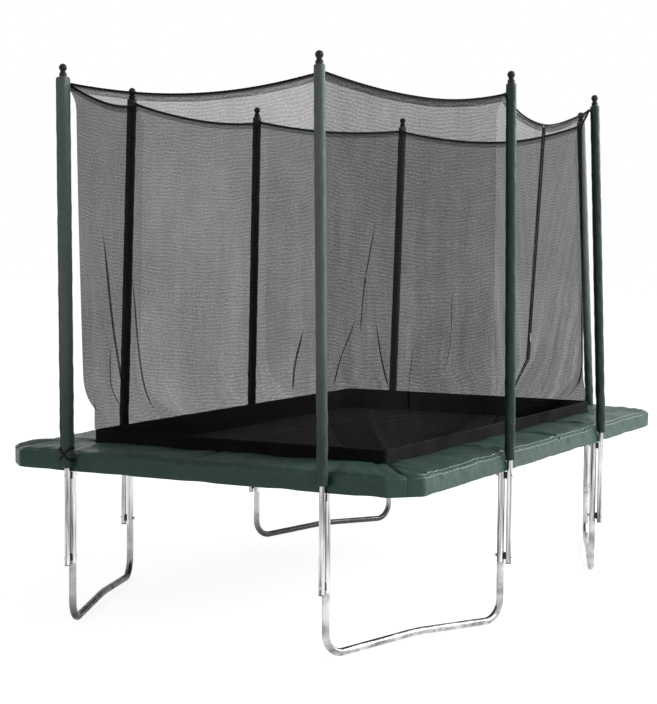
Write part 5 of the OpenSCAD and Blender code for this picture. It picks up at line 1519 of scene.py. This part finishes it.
hang_net("net_right_front", netting_door, *wall_patch(2, WALL_GAP, TOP_SHARE, 180, 120, "front"))
hang_net("net_right_rear", netting_door, *wall_patch(2, TOP_SHARE, 1 - WALL_GAP, 210, 120, "rear"))
print("zip length:", round(ZIP_LEN, 3), "m")

# %% Zip tapes
def lifted(plan, z):
    """Plan points in rows, each row at its own height."""
    return np.concatenate([plan, np.broadcast_to(z[:, None, None], (*plan.shape[:2], 1))], -1)

def tape_patches():
    """Two strips beside the zip's centre line, each from its inner to its outer edge, from the
    hem down to the foot, with a slight wave below the teeth, and a tab over the zip's top end."""
    z = np.concatenate([np.linspace(ZIP_TOP[2], ZIP_LOW[2], 90), np.linspace(ZIP_LOW[2], NET_FOOT, 40)[1:]])
    centre = zip_plan(z)
    down = run_length(np.column_stack([centre, z]))
    made = []
    for front in (True, False):
        d = unit(door_pole(front, z) - centre)
        w = np.linspace(TAPE_IN, TAPE_OUT, 5)
        plan = centre[:, None] + d[:, None] * w[None, :, None]
        bow = 0.0006 * np.sin(24 * z[:, None]) * (w[None] / TAPE_OUT) * (z[:, None] < ZIP_LOW[2])
        plan = plan + np.stack([bow, 0 * bow], -1)
        made.append(patch(lifted(plan, z), (w - TAPE_IN)[None, :], down[:, None], flip=not front))
    tab = np.linspace(-TAPE_IN - 0.004, TAPE_IN + 0.004, 4)
    height = ZIP_TOP[2] + np.linspace(0.004, -0.003, 4)
    centre = zip_plan(height)
    across = unit(door_pole(False, height) - centre)[:, None] * tab[None, :, None]
    plan = centre[:, None] + across + [0.0032, 0.0]
    made.append(patch(lifted(plan, height), tab[None] + 0.01, 0.02 - height[:, None] + ZIP_TOP[2]))
    return made

tapes = piece("zip_tape_strips", tape_patches(), [tape_weave], merge=0)
thick = tapes.modifiers.new("thick", "SOLIDIFY")
thick.thickness, thick.offset = 0.0012, 0.0
bpy.context.view_layer.objects.active = tapes
bpy.ops.object.modifier_apply(modifier="thick")
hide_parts("zip_tapes")
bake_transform(tapes)
print("tapes:", faces_of(tapes), "faces")

# %% Zip teeth
def teeth_patch(pitch=0.0045):
    """Blocks along the zip, the two rows half a pitch apart: corner = place + axis * size."""
    along = (ZIP_TOP - ZIP_LOW) / ZIP_LEN
    out3 = unit(np.cross([0, 1.0, 0], along))
    side = np.cross(along, out3)
    n = int(ZIP_LEN / pitch) - 1
    cube = np.array([[x, y, z] for z in (-1, 1) for x, y in ((-1, -1), (1, -1), (1, 1), (-1, 1))], float)
    taper = np.where(cube[:, 2:] > 0, 0.75, 1.0)
    faces = np.array([[0, 3, 2, 1], [4, 5, 6, 7], [0, 1, 5, 4], [1, 2, 6, 5], [2, 3, 7, 6], [3, 0, 4, 7]])
    made = []
    for s in (-1, 1):
        at = (np.arange(n) + 0.6 + 0.25 * s) * pitch
        middle = ZIP_LOW + at[:, None] * along + s * 0.0020 * side
        narrow = np.concatenate([taper, np.ones_like(taper), np.ones_like(taper)], 1)
        size = cube * [0.00145, 0.00115, pitch * 0.30] * narrow
        block = middle[:, None] + size[None] @ np.stack([out3, side, along])
        index = (faces[None] + 8 * np.arange(n)[:, None, None]).reshape(-1, 4)
        maps = np.zeros((len(index), 4, 2))
        made.append({"points": block.reshape(-1, 3), "faces": index, "maps": maps, "number": 0})
    return made

teeth = piece("zip_teeth_rows", teeth_patch(), [zip_plastic], merge=0, flat=True)
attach(teeth, "frame")
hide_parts("zip_teeth")
print("teeth:", faces_of(teeth) // 6)

# %% [markdown]
# ## Finishes of the CAD parts
# The rigid parts come from the CAD model as they are. Only their materials change, each node
# by its own kind. Where a tube runs along a different axis its streaks must run that way too,
# so uprights, cross rails and long rails have their own copy of the zinc finish.

# %% Assign finishes
kinds = (
    (zinc_along, ("side_rails",)),
    (zinc_across, ("end_rails",)),
    (zinc_bend, ("corner_bends", "leg_base_near_right", "leg_base_far_right")),
    # The leg bases on the shaded left side get the copy with painted shade.
    (zinc_painted_shade, ("leg_base_near_left", "leg_base_far_left")),
    (zinc_upright, ("leg_uprights", "pole_lower_tubes", "pole_upper_tubes")),
    (cap_plastic, ("pole_caps",)),
    (block_plastic, ("pole_end_plugs", "upper_spacers", "lower_spacers")),
    (bolt_zinc, ("upper_bolts", "lower_bolts", "upper_nuts", "lower_nuts")),
    (bolt_zinc, ("upper_washers", "lower_washers", "zip_slider", "zip_pull")),
    (spring_wire, ("v_rings",)),
)
finish_of = {name: material for material, names in kinds for name in names}
for name, material in finish_of.items():
    mesh = cad[name].data
    mesh.materials.clear()
    mesh.materials.append(material)
shown = [name for name, thing in cad.items() if not thing.hide_render]
print("shown CAD nodes:", len(shown), "all finished:", sorted(set(shown) - set(finish_of)) or "yes")
